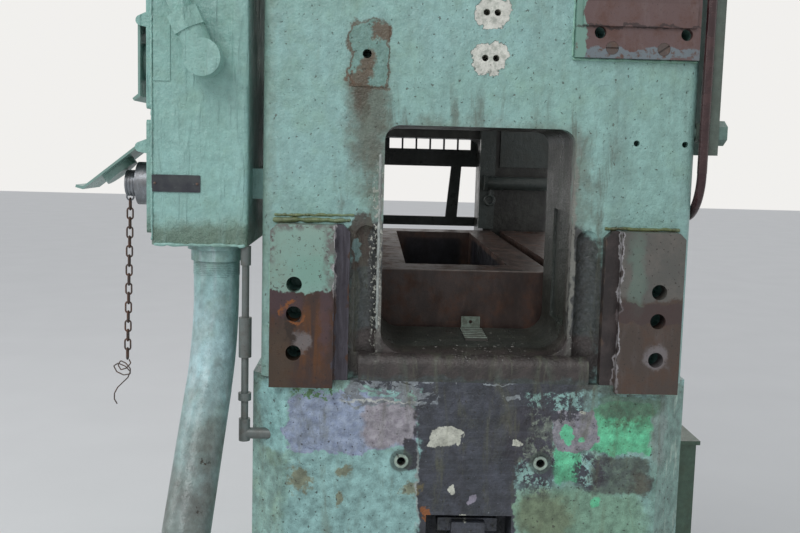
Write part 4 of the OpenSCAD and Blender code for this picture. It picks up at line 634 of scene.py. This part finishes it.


# The far upright is the same hollow column at the exit end, clamped by the same rods. Its outside is painted
# like the rest, and its inside, seen through the window, is darkened as painted shade.
far_finish, kit, far_place, torn, patch, stains = patched("far_column_paint", -0.622, 0.05)
skin = brushed(kit, far_place, (0.2, 0.325, 0.285), (0.22, 0.35, 0.335), (0.18, 0.26, 0.18),
    (0.065, 0.068, 0.05), 0.45)
tone = kit.blend(kit.times(patch(0.0, 0.93, 0.17, 0.16, 0.15, 0.6, "mid", 5), 0.8), skin["Color"],
    (0.07, 0.064, 0.052))
back = kit.along(far_place, "X")
inside = kit.ramp(kit.add(back, kit.times(torn["mid"], 0.01)), -0.62, -0.606)
off_middle = kit.sums("ABSOLUTE", kit.less(kit.along(far_place, "Y"), 0.01))
# Painted shade: the inside faces seen through the window are made near black.
tone = kit.blend(kit.times(inside, kit.ramp(off_middle, 0.2895, 0.287)), tone,
    kit.drift(torn["mid"], 0.4, 0.65, (0.02, 0.02, 0.018), (0.042, 0.044, 0.038)))
kit.finish(tone, skin["Roughness"], skin["Height"], 0.001)
dress(far_finish, "left_upright")


# Four long steel rods clamp bed, uprights and crown together, stretched while hot, and each ends in
# a heavy round-cornered nut. They are bare, oiled and brown with age.
def metal(name, skin, rust, bright, rusty, rubbed, size=1.0, depth=0.0004, metallic=None):
    """A finish of bare metal all over: metallic fixes it, or else it follows the rubbed streaks."""
    made, kit, place = fresh(name)
    found = rubbed_metal(kit, place, skin, rust, bright, rusty, rubbed, size)
    kit.finish(found["Color"], found["Roughness"], found["Height"], depth,
               found["Metallic"] if metallic is None else metallic)
    return made


RUST = (0.12, 0.045, 0.016)
dark_rod_steel = metal("dark_rod_steel", (0.095, 0.09, 0.085), RUST, (0.26, 0.25, 0.24), 0.35, 0.5)
dress(dark_rod_steel, "tie_rods", "tie_rod_nuts")


# The crown is the top casting that holds the crank's main bearings and the drive. It was sprayed
# and later brushed over with the same sea green, and stays cleaner than what stands below it.
crown_finish = painted("crown_paint", (0.215, 0.35, 0.3), (0.24, 0.39, 0.36), (0.2, 0.28, 0.18), 0.28)
dress(crown_finish, "crown")


# The bolster is a thick ground steel plate with T slots and a die opening, bolted to the bed. Oil
# and handling have turned its sides brown black; its top edge is rubbed bright along the window.
bolster_finish, kit, bolster_place, torn, patch, stains = patched("bolster_steel", 0.4, 0.6)
found = rubbed_metal(kit, bolster_place, (0.048, 0.031, 0.027), (0.105, 0.045, 0.024), (0.105, 0.085, 0.078),
    0.55, 0.5, 1.0)
bolster_low, bolster_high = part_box("bolster")
across = kit.node("SeparateXYZ", Vector=bolster_place)
at_edge = kit.times(kit.ramp(across.outputs["Z"], bolster_high.z - 0.0022, bolster_high.z - 0.0008),
    kit.ramp(across.outputs["X"], bolster_high.x - 0.003, bolster_high.x - 0.0012))
tone = kit.blend(kit.times(at_edge, 0.9), found["Color"], (0.24, 0.2, 0.18))
# The die opening's walls are painted near black, as painted shade in the hole.
die_hole_shade = kit.effect(ragged_patch, Place=bolster_place, Centre=(0.0, 0.0, 0.848),
    Half=(0.326, 0.0835, 0.0505), Round=12.0, Soft=0.004, Torn=0.5, Ragged=0.0)["Mask"]
tone = kit.blend(die_hole_shade, tone,
    kit.drift(torn["mid"], 0.4, 0.64, (0.004, 0.004, 0.007), (0.014, 0.013, 0.019)))
smears = kit.streaks(bolster_place, (14, 40, 22), 5.0, 0.65, 0.4)
tone = kit.shade(tone, kit.ramp(smears, 0.32, 0.68, 0.72, 1.45))
kit.finish(tone, found["Roughness"], found["Height"], 0.0005, found["Metallic"])
dress(bolster_finish, "bolster")
black_screw_steel = metal("black_screw_steel", (0.04, 0.038, 0.036), RUST, (0.2, 0.19, 0.18), 0.35, 0.35, 1.4)
dress(black_screw_steel, "bolster_bolts", "gib_bolts", "cover_bolts")


# Bright steel chips from the last strips lie loose in the oil on the window's sill. One sliver is
# bent up and copied, and chance turns, sizes and places each copy.
CHIP_SIZE = (0.0026, 0.0013, 0.0005)
CHIP_COPIES = 46
CHIP_REST = 0.8153
chip_shine = metal("chip_shine", (0.4, 0.4, 0.38), RUST, (0.66, 0.66, 0.64), 0.15, 0.6, 4.0, 0.0002, 0.8)
bpy.ops.object.select_all(action="DESELECT")
bpy.ops.mesh.primitive_cube_add(size=1, location=(0, 0, 0))
chip = bpy.context.active_object
chip.scale = CHIP_SIZE
bpy.ops.object.transform_apply(location=True, rotation=True, scale=True)
bpy.ops.object.mode_set(mode="EDIT")
chip_mesh = bmesh.from_edit_mesh(chip.data)
for face in chip_mesh.faces:
    face.select_set(face.normal.x > 0.9)
bmesh.update_edit_mesh(chip.data)
bpy.ops.mesh.extrude_region_move(TRANSFORM_OT_translate={"value": (0.0014, 0.0003, 0.0008)})
bpy.ops.mesh.extrude_region_move(TRANSFORM_OT_translate={"value": (0.0006, 0.0002, 0.0011)})
bpy.ops.transform.resize(value=(0.6, 0.6, 0.6))
bpy.ops.object.mode_set(mode="OBJECT")
chance = random.Random(17)
chips = [chip]
for _ in range(CHIP_COPIES):
    bpy.ops.object.select_all(action="DESELECT")
    chip.select_set(True)
    bpy.context.view_layer.objects.active = chip
    bpy.ops.object.duplicate()
    chips.append(bpy.context.active_object)
for one in chips:
    size = chance.uniform(0.6, 1.4)
    one.scale = (size, size, size)
    one.rotation_euler = (0, 0, chance.uniform(0, math.tau))
    one.location = (chance.triangular(0.45, 0.615, 0.6), chance.triangular(-0.1, 0.1, 0.03), CHIP_REST)
    one.select_set(True)
bpy.context.view_layer.objects.active = chip
bpy.ops.object.transform_apply(location=True, rotation=True, scale=True)
bpy.ops.object.join()
chip.name = "sill_chips"
chip.data.materials.append(chip_shine)
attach(chip, "frame")


# The gibs are bronze faced cast guides, bolted inside the uprights, in which the slide runs. Their
# working faces are wet with oil, their backs are black with it.
gib_finish = metal("gib_bronze", (0.17, 0.105, 0.045), (0.07, 0.045, 0.022), (0.36, 0.24, 0.12), 0.5, 0.5,
    1.0, 0.0003)
dress(gib_finish, "gib_front_right", "gib_rear_right", "gib_front_left", "gib_rear_left", "main_bearings")


# The slide is a ribbed iron box on two points. Its ways and its face are machined and oily, and the
# rest was painted the press's green, now dark with oil mist.
slide_finish, kit, slide_place, torn, patch, stains = patched("slide_paint", 0.0, 0.9)
slide_low, slide_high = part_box("slide")
skin = brushed(kit, slide_place, (0.14, 0.22, 0.19), (0.17, 0.28, 0.25), (0.12, 0.16, 0.11),
    (0.05, 0.05, 0.038), 0.6)
found = rubbed_metal(kit, slide_place, (0.16, 0.15, 0.14), (0.11, 0.065, 0.035), (0.34, 0.33, 0.31), 0.25,
    0.5, 1.0)
machined = patch(0.0, slide_low.z, 1.0, 0.006, 0.1, 0.1, "fine", 8)
kit.finish(kit.blend(machined, skin["Color"], found["Color"]), skin["Roughness"], skin["Height"], 0.0006,
           kit.times(machined, 0.7))
dress(slide_finish, "slide")


# The crankshaft is a forged steel shaft with an eccentric over each point. Each rod is an iron forging
# split across the eccentric, capped and bolted, and holds the slide by a wrist pin.
ground_steel = metal("ground_steel", (0.23, 0.225, 0.22), (0.13, 0.07, 0.035), (0.5, 0.49, 0.47), 0.25, 0.7,
    1.0, 0.0002, 0.85)
dress(ground_steel, "crankshaft", "wrist_pin_right", "wrist_pin_left")
rod_iron = metal("rod_iron", (0.12, 0.115, 0.105), (0.1, 0.055, 0.03), (0.28, 0.27, 0.25), 0.4, 0.4, 0.8,
    0.0008)
dress(rod_iron, "rod_right", "rod_left", "rod_cap_right", "rod_cap_left")
dress(black_screw_steel, "rod_bolts_right", "rod_bolts_left")


# The flywheel is a spoked iron casting, turned bright on its rim and painted between. The clutch
# housing beside it is a steel drum bolted to the shaft's end.
wheel_finish, kit, wheel_place, torn, patch, stains = patched("wheel_iron", -0.76, 0.8)
wheel_low, wheel_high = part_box("flywheel")
wheel_height = (wheel_low.z + wheel_high.z) / 2
wheel_radius = (wheel_high.z - wheel_low.z) / 2
skin = brushed(kit, wheel_place, (0.15, 0.25, 0.21), (0.18, 0.3, 0.27), (0.14, 0.18, 0.12),
    (0.05, 0.05, 0.038), 0.5)
found = rubbed_metal(kit, wheel_place, (0.11, 0.1, 0.09), (0.12, 0.06, 0.03), (0.36, 0.34, 0.32), 0.35, 0.7,
    1.0)
hub_place = kit.arrow("SUBTRACT", wheel_place, (0.0, 0.0, wheel_height))
hub_parts = kit.node("SeparateXYZ", Vector=hub_place)
spread = kit.sums("SQRT", kit.add(kit.sums("POWER", hub_parts.outputs["Y"], 2.0),
    kit.sums("POWER", hub_parts.outputs["Z"], 2.0)))
rim = kit.ramp(kit.add(spread, kit.times(torn["fine"], 0.004)), wheel_radius - 0.006, wheel_radius - 0.003)
kit.finish(kit.blend(rim, skin["Color"], found["Color"]), skin["Roughness"], skin["Height"], 0.0006,
           kit.times(rim, 0.8))
dress(wheel_finish, "flywheel")
dress(metal("clutch_steel", (0.1, 0.1, 0.1), RUST, (0.3, 0.29, 0.28), 0.3, 0.5, 0.9), "clutch_housing")


# The drive motor is a finned grey iron machine on a welded plate behind the crown. Its grooved sheave
# turns the flywheel by three rubber belts.
motor_finish = painted("motor_paint", (0.085, 0.115, 0.125), (0.1, 0.14, 0.155), (0.085, 0.095, 0.085), 0.35)
dress(motor_finish, "motor")
dress(painted("motor_bracket_paint", (0.2, 0.33, 0.28), (0.22, 0.37, 0.34), (0.19, 0.26, 0.17), 0.35),
      "motor_bracket")
dress(metal("sheave_iron", (0.11, 0.105, 0.1), RUST, (0.33, 0.32, 0.3), 0.3, 0.6, 1.2), "motor_sheave")

belt_finish, kit, belt_place = fresh("belt_rubber")
belt_dust = kit.noise(belt_place, 60.0, 5.0, 0.7)
belt_weave = kit.noise(belt_place, 900.0, 2.0, 0.5)
tone = kit.drift(belt_dust, 0.45, 0.75, (0.018, 0.018, 0.019), (0.06, 0.056, 0.05))
kit.finish(tone, kit.ramp(belt_dust, 0.3, 0.7, 0.55, 0.8), belt_weave, 0.0003)
dress(belt_finish, "drive_belts")


# The belt guard and the crown covers are folded sheet steel, painted sea green before they were
# screwed on, and less stained than the castings.
dress(painted("guard_paint", (0.215, 0.355, 0.31), (0.235, 0.39, 0.37), (0.21, 0.29, 0.19), 0.22),
      "belt_guard", "crown_cover_front", "crown_cover_rear")


# Two steel pads are bolted beside the window for a strip feeder. Half of the operator's side one still wears
# green; below, both are rusted, and their inner steps are coloured darker.
pad_front_finish, kit, pad_place, torn, patch, stains = patched("feed_pad_front_steel", 0.648, 0.06)
found = rubbed_metal(kit, pad_place, (0.042, 0.024, 0.02), (0.085, 0.036, 0.016), (0.1, 0.085, 0.08), 0.7,
    0.35, 1.3)
skin = brushed(kit, pad_place, (0.24, 0.355, 0.3), (0.205, 0.35, 0.3), (0.19, 0.21, 0.16),
    (0.085, 0.075, 0.055), 0.45)
streak = kit.streaks(pad_place, (60, 120, 12), 5.0, 0.65, 0.5)
orange = patch(-0.212, 0.833, 0.019, 0.046, 0.35, 1.4, "mid", 4)
bare = kit.blend(kit.times(kit.ramp(streak, 0.36, 0.6), kit.times(orange, 0.9)), found["Color"],
    (0.098, 0.038, 0.012))
bare = stains(
    bare,
    ((0.062, 0.042, 0.026), 0.7, -0.253, 0.8, 0.02, 0.05, 0.4, 1.2, "mid"),
    ((0.062, 0.036, 0.042), 0.75, -0.25, 0.883, 0.024, 0.016, 0.3, 1.3, "mid"),
    ((0.075, 0.045, 0.055), 0.6, -0.1955, 0.87, 0.0075, 0.05, 0.4, 1.0, "fine"),
    ((0.022, 0.014, 0.01), 0.85, -0.238, 0.852, 0.0085, 0.024, 0.3, 1.6, "fine"),
    ((0.165, 0.15, 0.15), 0.8, -0.2225, 0.833, 0.0105, 0.015, 0.3, 1.4, "fine"))
ring = kit.less(patch(-0.2365, 0.868, 0.0165, 0.0155, 0.08, 0.9, "fine"),
    patch(-0.2365, 0.868, 0.0118, 0.011, 0.08, 0.4, "fine"))
bare = kit.blend(kit.times(kit.ramp(ring, 0.2, 0.8), kit.ramp(torn["mid"], 0.42, 0.54)), bare,
    (0.2, 0.068, 0.018))
bare = kit.blend(kit.ramp(kit.noise(pad_place, 230.0, 4.0, 0.6), 0.63, 0.67, 0.0, 0.8), bare,
    (0.02, 0.012, 0.01))
green = patch(-0.226, 0.948, 0.048, 0.0515, 0.025, 0.14, "fine", 9)
worn = kit.most(patch(-0.236, 0.99, 0.046, 0.013, 0.35, 1.6, "mid", 4),
    patch(-0.187, 0.948, 0.01, 0.052, 0.5, 1.6, "mid", 4),
    patch(-0.268, 0.965, 0.008, 0.03, 0.5, 1.6, "mid", 4))
worn = kit.times(worn, kit.ramp(torn["fine"], 0.38, 0.54))
coat = kit.blend(kit.times(worn, 0.85), skin["Color"], (0.12, 0.1, 0.098))
coat = stains(coat, ((0.175, 0.33, 0.27), 0.6, -0.212, 0.925, 0.022, 0.02, 0.5, 1.0, "mid"))
coat = kit.lay(coat, kit.ramp(kit.noise(pad_place, 260.0, 4.0, 0.6), 0.62, 0.65), (0.045, 0.038, 0.034), 0.8)
tone = kit.blend(green, bare, coat)
tone = stains(tone, ((0.36, 0.34, 0.35), 0.9, -0.1838, 0.948, 0.0012, 0.052, 0.4, 0.5, "fine", 6))
step = patch(-0.1735, 0.877, 0.0095, 0.14, 0.06, 0.15, "fine", 9)
step_tone = kit.drift(streak, 0.38, 0.66, (0.03, 0.026, 0.035), (0.07, 0.065, 0.082))
tone = kit.blend(step, tone, step_tone)
tone = stains(
    tone,
    (kit.drift(torn["fine"], 0.48, 0.56, (0.15, 0.24, 0.19), (0.42, 0.52, 0.44)), 1, -0.2755, 0.9, 0.0022,
     0.1, 0.3, 0.5, "fine", 6))
kit.finish(tone, kit.blend(green, found["Roughness"], skin["Roughness"]), found["Height"], 0.0012,
           kit.times(kit.less(1.0, green), 0.25))
dress(pad_front_finish, "feed_pad_front")

pad_rear_finish, kit, pad_place, torn, patch, stains = patched("feed_pad_rear_steel", 0.648, 0.06)
found = rubbed_metal(kit, pad_place, (0.06, 0.044, 0.036), (0.085, 0.045, 0.028), (0.16, 0.15, 0.15), 0.55,
    0.35, 1.2)
grey_half = patch(0.226, 0.945, 0.048, 0.05, 0.06, 0.5, "mid", 6)
tone = kit.blend(kit.times(grey_half, 0.8), found["Color"],
    kit.drift(torn["mid"], 0.4, 0.65, (0.1, 0.104, 0.096), (0.135, 0.13, 0.118)))
tone = stains(
    tone,
    ((0.13, 0.21, 0.17), 0.5, 0.205, 0.93, 0.01, 0.05, 0.5, 1.4, "mid"),
    ((0.175, 0.16, 0.165), 0.8, 0.2345, 0.8195, 0.015, 0.015, 0.25, 0.6, "fine"))
tone = kit.blend(kit.ramp(kit.noise(pad_place, 230.0, 4.0, 0.6), 0.62, 0.66, 0.0, 0.8), tone,
    (0.024, 0.018, 0.017))
tone = stains(
    tone,
    ((0.3, 0.29, 0.3), 0.9, 0.1845, 0.9, 0.0012, 0.11, 0.4, 0.6, "fine", 6),
    ((0.05, 0.032, 0.032), 0.75, 0.226, 0.877, 0.048, 0.0135, 0.08, 0.3, "fine", 9))
step = patch(0.1735, 0.877, 0.0095, 0.14, 0.06, 0.15, "fine", 9)
tone = kit.blend(step, tone, kit.drift(torn["mid"], 0.38, 0.66, (0.019, 0.014, 0.014), (0.045, 0.034, 0.033)))
kit.finish(tone, found["Roughness"], found["Height"], 0.0006, found["Metallic"])
dress(pad_rear_finish, "feed_pad_rear")


# Sealer was gunned over both pads' tops to keep oil off their backs, and green paint has gathered in
# drops along their lower edges.
sealer = painted("pad_sealer", (0.135, 0.165, 0.062), (0.17, 0.235, 0.13), (0.085, 0.09, 0.045), 0.95,
    (0.04, 0.036, 0.022), 0.0024)
drop_paint = painted("drop_paint", (0.21, 0.4, 0.31), (0.27, 0.48, 0.4), (0.16, 0.27, 0.18), 0.5,
    depth=0.0012)
for bead, start, end, half, bead_paint, seed in (
        ("pad_sealer_front", (0.6222, -0.267, 0.9865), (0.6222, -0.164, 0.9875), 0.0036, sealer, 5),
        ("pad_sealer_upper", (0.622, -0.264, 0.9925), (0.622, -0.16, 0.9945), 0.0021, sealer, 15),
        ("pad_sealer_rear", (0.6225, 0.166, 0.985), (0.6225, 0.265, 0.985), 0.0026, sealer, 6),
        ("pad_drops_front", (0.644, -0.264, 0.7712), (0.644, -0.187, 0.7712), 0.0014, drop_paint, 7),
        ("pad_drops_rear", (0.644, 0.187, 0.7712), (0.644, 0.264, 0.7712), 0.0014, drop_paint, 8),
        ("pad_side_runs", (0.63, -0.2672, 0.845), (0.63, -0.2672, 0.935), 0.0021, drop_paint, 9)):
    uneven_bead(bead, start, end, half, bead_paint, seed)


# The upper plate is a bare steel strip, screwed on over the paint for a feeder that is gone. Its middle
# is brown to purple, its left end was painted over, and its foot is pale with rust specks.
plate_finish, kit, plate_place, torn, patch, stains = patched("upper_plate_steel", 0.63, 0.05)
found = rubbed_metal(kit, plate_place, (0.12, 0.075, 0.073), (0.1, 0.045, 0.03), (0.2, 0.165, 0.165), 0.6,
    0.45, 1.2)
tone = found["Color"]
margin = patch(0.194, 1.2085, 0.085, 0.0068, 0.15, 0.35, "fine", 8)
margin_tone = kit.drift(torn["fine"], 0.5, 0.66, (0.145, 0.175, 0.195), (0.1, 0.055, 0.04))
tone = kit.blend(margin, tone, margin_tone)
tone = stains(
    tone,
    ((0.165, 0.3, 0.25), 1, 0.1205, 1.266, 0.0075, 0.07, 0.1, 0.35, "fine", 8),
    ((0.03, 0.02, 0.02), 0.8, 0.2, 1.2425, 0.1, 0.0016, 0.4, 0.3, "fine", 8))
kit.finish(tone, found["Roughness"], found["Height"], 0.0005, found["Metallic"])
dress(plate_finish, "upper_plate")
bright_screw_steel = metal("bright_screw_steel", (0.085, 0.065, 0.058), RUST, (0.26, 0.23, 0.21), 0.45, 0.5,
    2.0)
dress(bright_screw_steel, "upper_plate_screws")
uneven_bead("plate_bead_low", (0.6225, 0.113, 1.2008), (0.6225, 0.275, 1.2008), 0.0021, drop_paint,
            11)
uneven_bead("plate_bead_side", (0.6225, 0.1135, 1.203), (0.6225, 0.1135, 1.329), 0.0017, drop_paint,
            12)


# The tab on the sill is a bent steel strip, held by its foot. Grey green paint clings to its upstand,
# and the ridged foot is dark with oil.
tab_finish, kit, tab_place, torn, patch, stains = patched("sill_tab_steel", 0.48, 0.1)
found = rubbed_metal(kit, tab_place, (0.085, 0.078, 0.072), (0.06, 0.045, 0.035), (0.17, 0.16, 0.15), 0.5,
    0.5, 2.5)
upstand = kit.ramp(kit.along(tab_place, "Z"), 0.8165, 0.8185)
tab_paint = kit.drift(torn["fine"], 0.42, 0.62, (0.225, 0.285, 0.235), (0.13, 0.15, 0.12))
tone = kit.blend(upstand, kit.shade(found["Color"], 0.6), tab_paint)
kit.finish(tone, found["Roughness"], found["Height"], 0.0004)
dress(tab_finish, "sill_tab")


# The junction box is folded sheet steel on the upright's front side, brushed green thickly enough to
# run. Its brackets, pipe nuts and elbow were painted with it.
box_finish, kit, box_place, torn, patch, stains = patched("box_paint", 0.622, 0.3)
skin = brushed(kit, box_place, (0.248, 0.44, 0.395), (0.272, 0.48, 0.455), (0.22, 0.37, 0.29),
    (0.12, 0.15, 0.11), 0.25)
box_low, box_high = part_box("junction_box")
foot_grime = patch(-0.36, box_low.z, 0.09, 0.028, 0.45, 1.2, "mid", 5)
tone = kit.blend(kit.times(foot_grime, 0.75), skin["Color"], (0.12, 0.17, 0.115))
drip_noise = kit.streaks(box_place, (60, 60, 9), 3.0, 0.5, 0.3)
drips = kit.ramp(drip_noise, 0.5, 0.7)
tone = kit.lay(tone, drips, (0.28, 0.45, 0.42), 0.22)
box_height = kit.add(kit.add(kit.times(skin["Height"], 1.1), kit.times(drips, 0.6)),
    kit.times(foot_grime, kit.times(torn["fine"], 2.2)))
tone, specks_and_glints = weather_and_glints(kit, box_place, tone, (0.15, 0.215, 0.165), 0.35)
kit.finish(tone, skin["Roughness"], kit.less(box_height, kit.times(specks_and_glints, 0.4)), 0.0026)
dress(box_finish, "junction_box", "box_brackets", "elbow_fitting", "small_conduit", "receptacle_plate_upper",
      "receptacle_plate_lower")
box_run_paint = painted("box_run_paint", (0.235, 0.415, 0.37), (0.27, 0.47, 0.44), (0.17, 0.26, 0.18), 0.5,
    depth=0.0014)
uneven_bead("box_foot_runs", (0.6215, -0.419, 0.9508), (0.6215, -0.301, 0.9508), 0.0026, box_run_paint,
            21)
uneven_bead("box_edge_runs", (0.6222, -0.4205, 0.956), (0.6222, -0.4205, 1.41), 0.0015, box_run_paint,
            22)


# The large conduit is a two inch steel pipe, threaded into the box's floor and nutted there. Its paint
# is rubbed pale above and worn to dark steel towards the ground.
conduit_finish, kit, conduit_place, torn, patch, stains = patched("conduit_paint", 0.66, 0.2)
skin = brushed(kit, conduit_place, (0.245, 0.42, 0.405), (0.35, 0.53, 0.56), (0.19, 0.27, 0.2),
    (0.09, 0.09, 0.07), 0.35)
streak = kit.streaks(conduit_place, (55, 55, 5), 4.0, 0.6, 0.3)
tone = kit.blend(kit.times(kit.ramp(streak, 0.48, 0.68), 0.7), skin["Color"], (0.34, 0.45, 0.46))
tone = stains(
    tone,
    (kit.drift(torn["mid"], 0.4, 0.66, (0.15, 0.17, 0.155), (0.085, 0.075, 0.062)), 0.85, -0.36, 0.4, 0.2,
     0.33, 0.3, 0.9, "broad", 4))
bare_spots = kit.times(kit.ramp(torn["mid"], 0.66, 0.7), kit.ramp(torn["fine"], 0.4, 0.5))
tone = kit.blend(bare_spots, tone, (0.12, 0.085, 0.06))
tone, specks_and_glints = weather_and_glints(kit, conduit_place, tone, (0.1, 0.1, 0.08), 0.7)
kit.finish(tone, skin["Roughness"], kit.less(skin["Height"], bare_spots), 0.002)
dress(conduit_finish, "conduit", "conduit_locknut")
PIPE_X, PIPE_Y, THREAD_FOOT = 0.578, -0.344, 0.908
THREAD_RADIUS, THREAD_PITCH, THREAD_STEPS = 0.0304, 0.0024, 20
thread_turn = math.tau / THREAD_STEPS
thread_stops = [(PIPE_X + THREAD_RADIUS * math.cos(step * thread_turn),
    PIPE_Y + THREAD_RADIUS * math.sin(step * thread_turn),
    THREAD_FOOT + THREAD_PITCH * step / THREAD_STEPS) for step in range(8 * THREAD_STEPS + 1)]
strand("conduit_thread", thread_stops, [0.0008] * len(thread_stops), conduit_finish, "frame")


# The label is a thin black anodised plate, worn to specks of metal and left bare. Two turned rivets
# hold it on the box's face.
label_finish, kit, label_place = fresh("label_black")
label_wear = kit.noise(label_place, 260.0, 5.0, 0.7)
label_film = kit.noise(label_place, 45.0, 4.0, 0.6)
tone = kit.drift(label_film, 0.4, 0.7, (0.02, 0.023, 0.032), (0.042, 0.048, 0.052))
tone = kit.drift(label_wear, 0.66, 0.72, tone, (0.16, 0.2, 0.19))
kit.finish(tone, kit.ramp(label_film, 0.3, 0.7, 0.3, 0.5), label_wear, 0.0002)
dress(label_finish, "label_plate")

RIVET_RADIUS, RIVET_DEPTH, RIVET_X, RIVET_Z = 0.0017, 0.0012, 0.6241, 1.0295
for rivet_name, rivet_y in (("label_rivet_left", -0.4165), ("label_rivet_right", -0.3625)):
    bpy.ops.object.select_all(action="DESELECT")
    bpy.ops.mesh.primitive_cylinder_add(vertices=20, radius=RIVET_RADIUS, depth=RIVET_DEPTH,
        location=(RIVET_X, rivet_y, RIVET_Z), rotation=(0, math.pi / 2, 0))
    rivet = bpy.context.active_object
    rivet.name = rivet_name
    bpy.ops.object.transform_apply(location=True, rotation=True, scale=True)
    bpy.ops.object.mode_set(mode="EDIT")
    rivet_mesh = bmesh.from_edit_mesh(rivet.data)
    for face in rivet_mesh.faces:
        face.select_set(face.normal.x > 0.9)
    bmesh.update_edit_mesh(rivet.data)
    bpy.ops.mesh.inset(thickness=0.0005)
    bpy.ops.transform.translate(value=(0.0004, 0, 0))
    bpy.ops.mesh.inset(thickness=0.0005)
    bpy.ops.transform.translate(value=(0.0002, 0, 0))
    bpy.ops.object.mode_set(mode="OBJECT")
    bpy.ops.object.shade_smooth_by_angle(angle=math.radians(40))
    rivet.data.materials.append(bright_screw_steel)
    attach(rivet, "frame")


# Two pin and sleeve receptacles stand on plates at the box's front side, under sprung cast lids. The
# upper lid is shut, the lower one hangs open over its screwed cap, which hangs on a link chain.
lid_finish, kit, lid_place, torn, patch, stains = patched("lid_paint", 0.56, 0.3)
skin = brushed(kit, lid_place, (0.19, 0.31, 0.275), (0.22, 0.37, 0.34), (0.17, 0.22, 0.16),
    (0.08, 0.08, 0.06), 0.4)
kit.finish(skin["Color"], skin["Roughness"], skin["Height"], 0.0009)
dress(lid_finish, "lid_upper", "lid_lower")
cast_alloy = metal("cast_alloy", (0.2, 0.215, 0.235), (0.12, 0.09, 0.07), (0.42, 0.44, 0.47), 0.3, 0.6, 1.6,
    0.0004, 0.6)
dress(cast_alloy, "receptacle_upper", "receptacle_lower", "receptacle_cap")
chain_finish = metal("chain_steel", (0.06, 0.04, 0.034), (0.135, 0.052, 0.024), (0.16, 0.13, 0.12), 0.7, 0.35,
    3.0, 0.0002)
dress(chain_finish, "cap_chain")

# The chain's last link was wired to the box once; a snarl of that wire and its loose end still hang there.
wire_turns = ((0, 0, 0), (2, 3, -5), (3, -3, -12), (0, -11, -15), (-4, -16, -9), (-3, -12, -3), (2, -4, -5),
    (5, 3, -12), (2, 2, -20), (-3, -8, -23), (-5, -18, -19), (-1, -21, -10), (4, -14, -5), (4, -4, -9),
    (1, 2, -17), (-2, -2, -26), (-3, -9, -33), (-2, -16, -40), (0, -20, -48), (1, -20, -56), (1, -16, -63))
wire_stops = [(0.56 + x / 1000, -0.466 + y / 1000, 0.7855 + z / 1000) for x, y, z in wire_turns]
strand("chain_wire", wire_stops, [0.0009] * len(wire_stops), chain_finish, "chain")


# A flat bar stands on the upright's rear side, held by a hexagon bolt, with an oil hose in front of it.
# The bar is painted dark green, and the hose is maroon rubber, shiny with oil.
dress(painted("rear_bar_paint", (0.088, 0.118, 0.098), (0.11, 0.15, 0.135), (0.09, 0.095, 0.07), 0.5,
    (0.035, 0.033, 0.027)), "rear_bar")
dress(painted("rear_bolt_paint", (0.12, 0.2, 0.175), (0.14, 0.24, 0.21), (0.12, 0.14, 0.1), 0.5),
      "rear_bar_bolt")
hose_finish, kit, hose_place = fresh("hose_rubber")
hose_film = kit.noise(hose_place, 55.0, 4.0, 0.6)
hose_ribs = kit.streaks(hose_place, (90, 90, 700), 2.0, 0.5)
tone = kit.drift(hose_film, 0.4, 0.68, (0.03, 0.01, 0.012), (0.052, 0.022, 0.023))
kit.finish(tone, kit.ramp(hose_film, 0.3, 0.7, 0.16, 0.34), hose_ribs, 0.0002)
dress(hose_finish, "hose")
dress(metal("air_line_steel", (0.13, 0.15, 0.145), (0.09, 0.06, 0.04), (0.28, 0.29, 0.28), 0.4, 0.4, 2.0),
      "air_line")


# The oil tank is a welded steel box that stands on the floor behind the bed, and the exit guard is
# a frame of painted bars over the far window.
dress(painted("tank_paint", (0.065, 0.115, 0.078), (0.08, 0.14, 0.1), (0.07, 0.09, 0.05), 0.5,
    (0.03, 0.032, 0.024)), "lube_tank")
dress(painted("exit_guard_paint", (0.05, 0.062, 0.058), (0.065, 0.085, 0.08), (0.055, 0.055, 0.045), 0.4,
    (0.03, 0.03, 0.025)), "exit_guard")
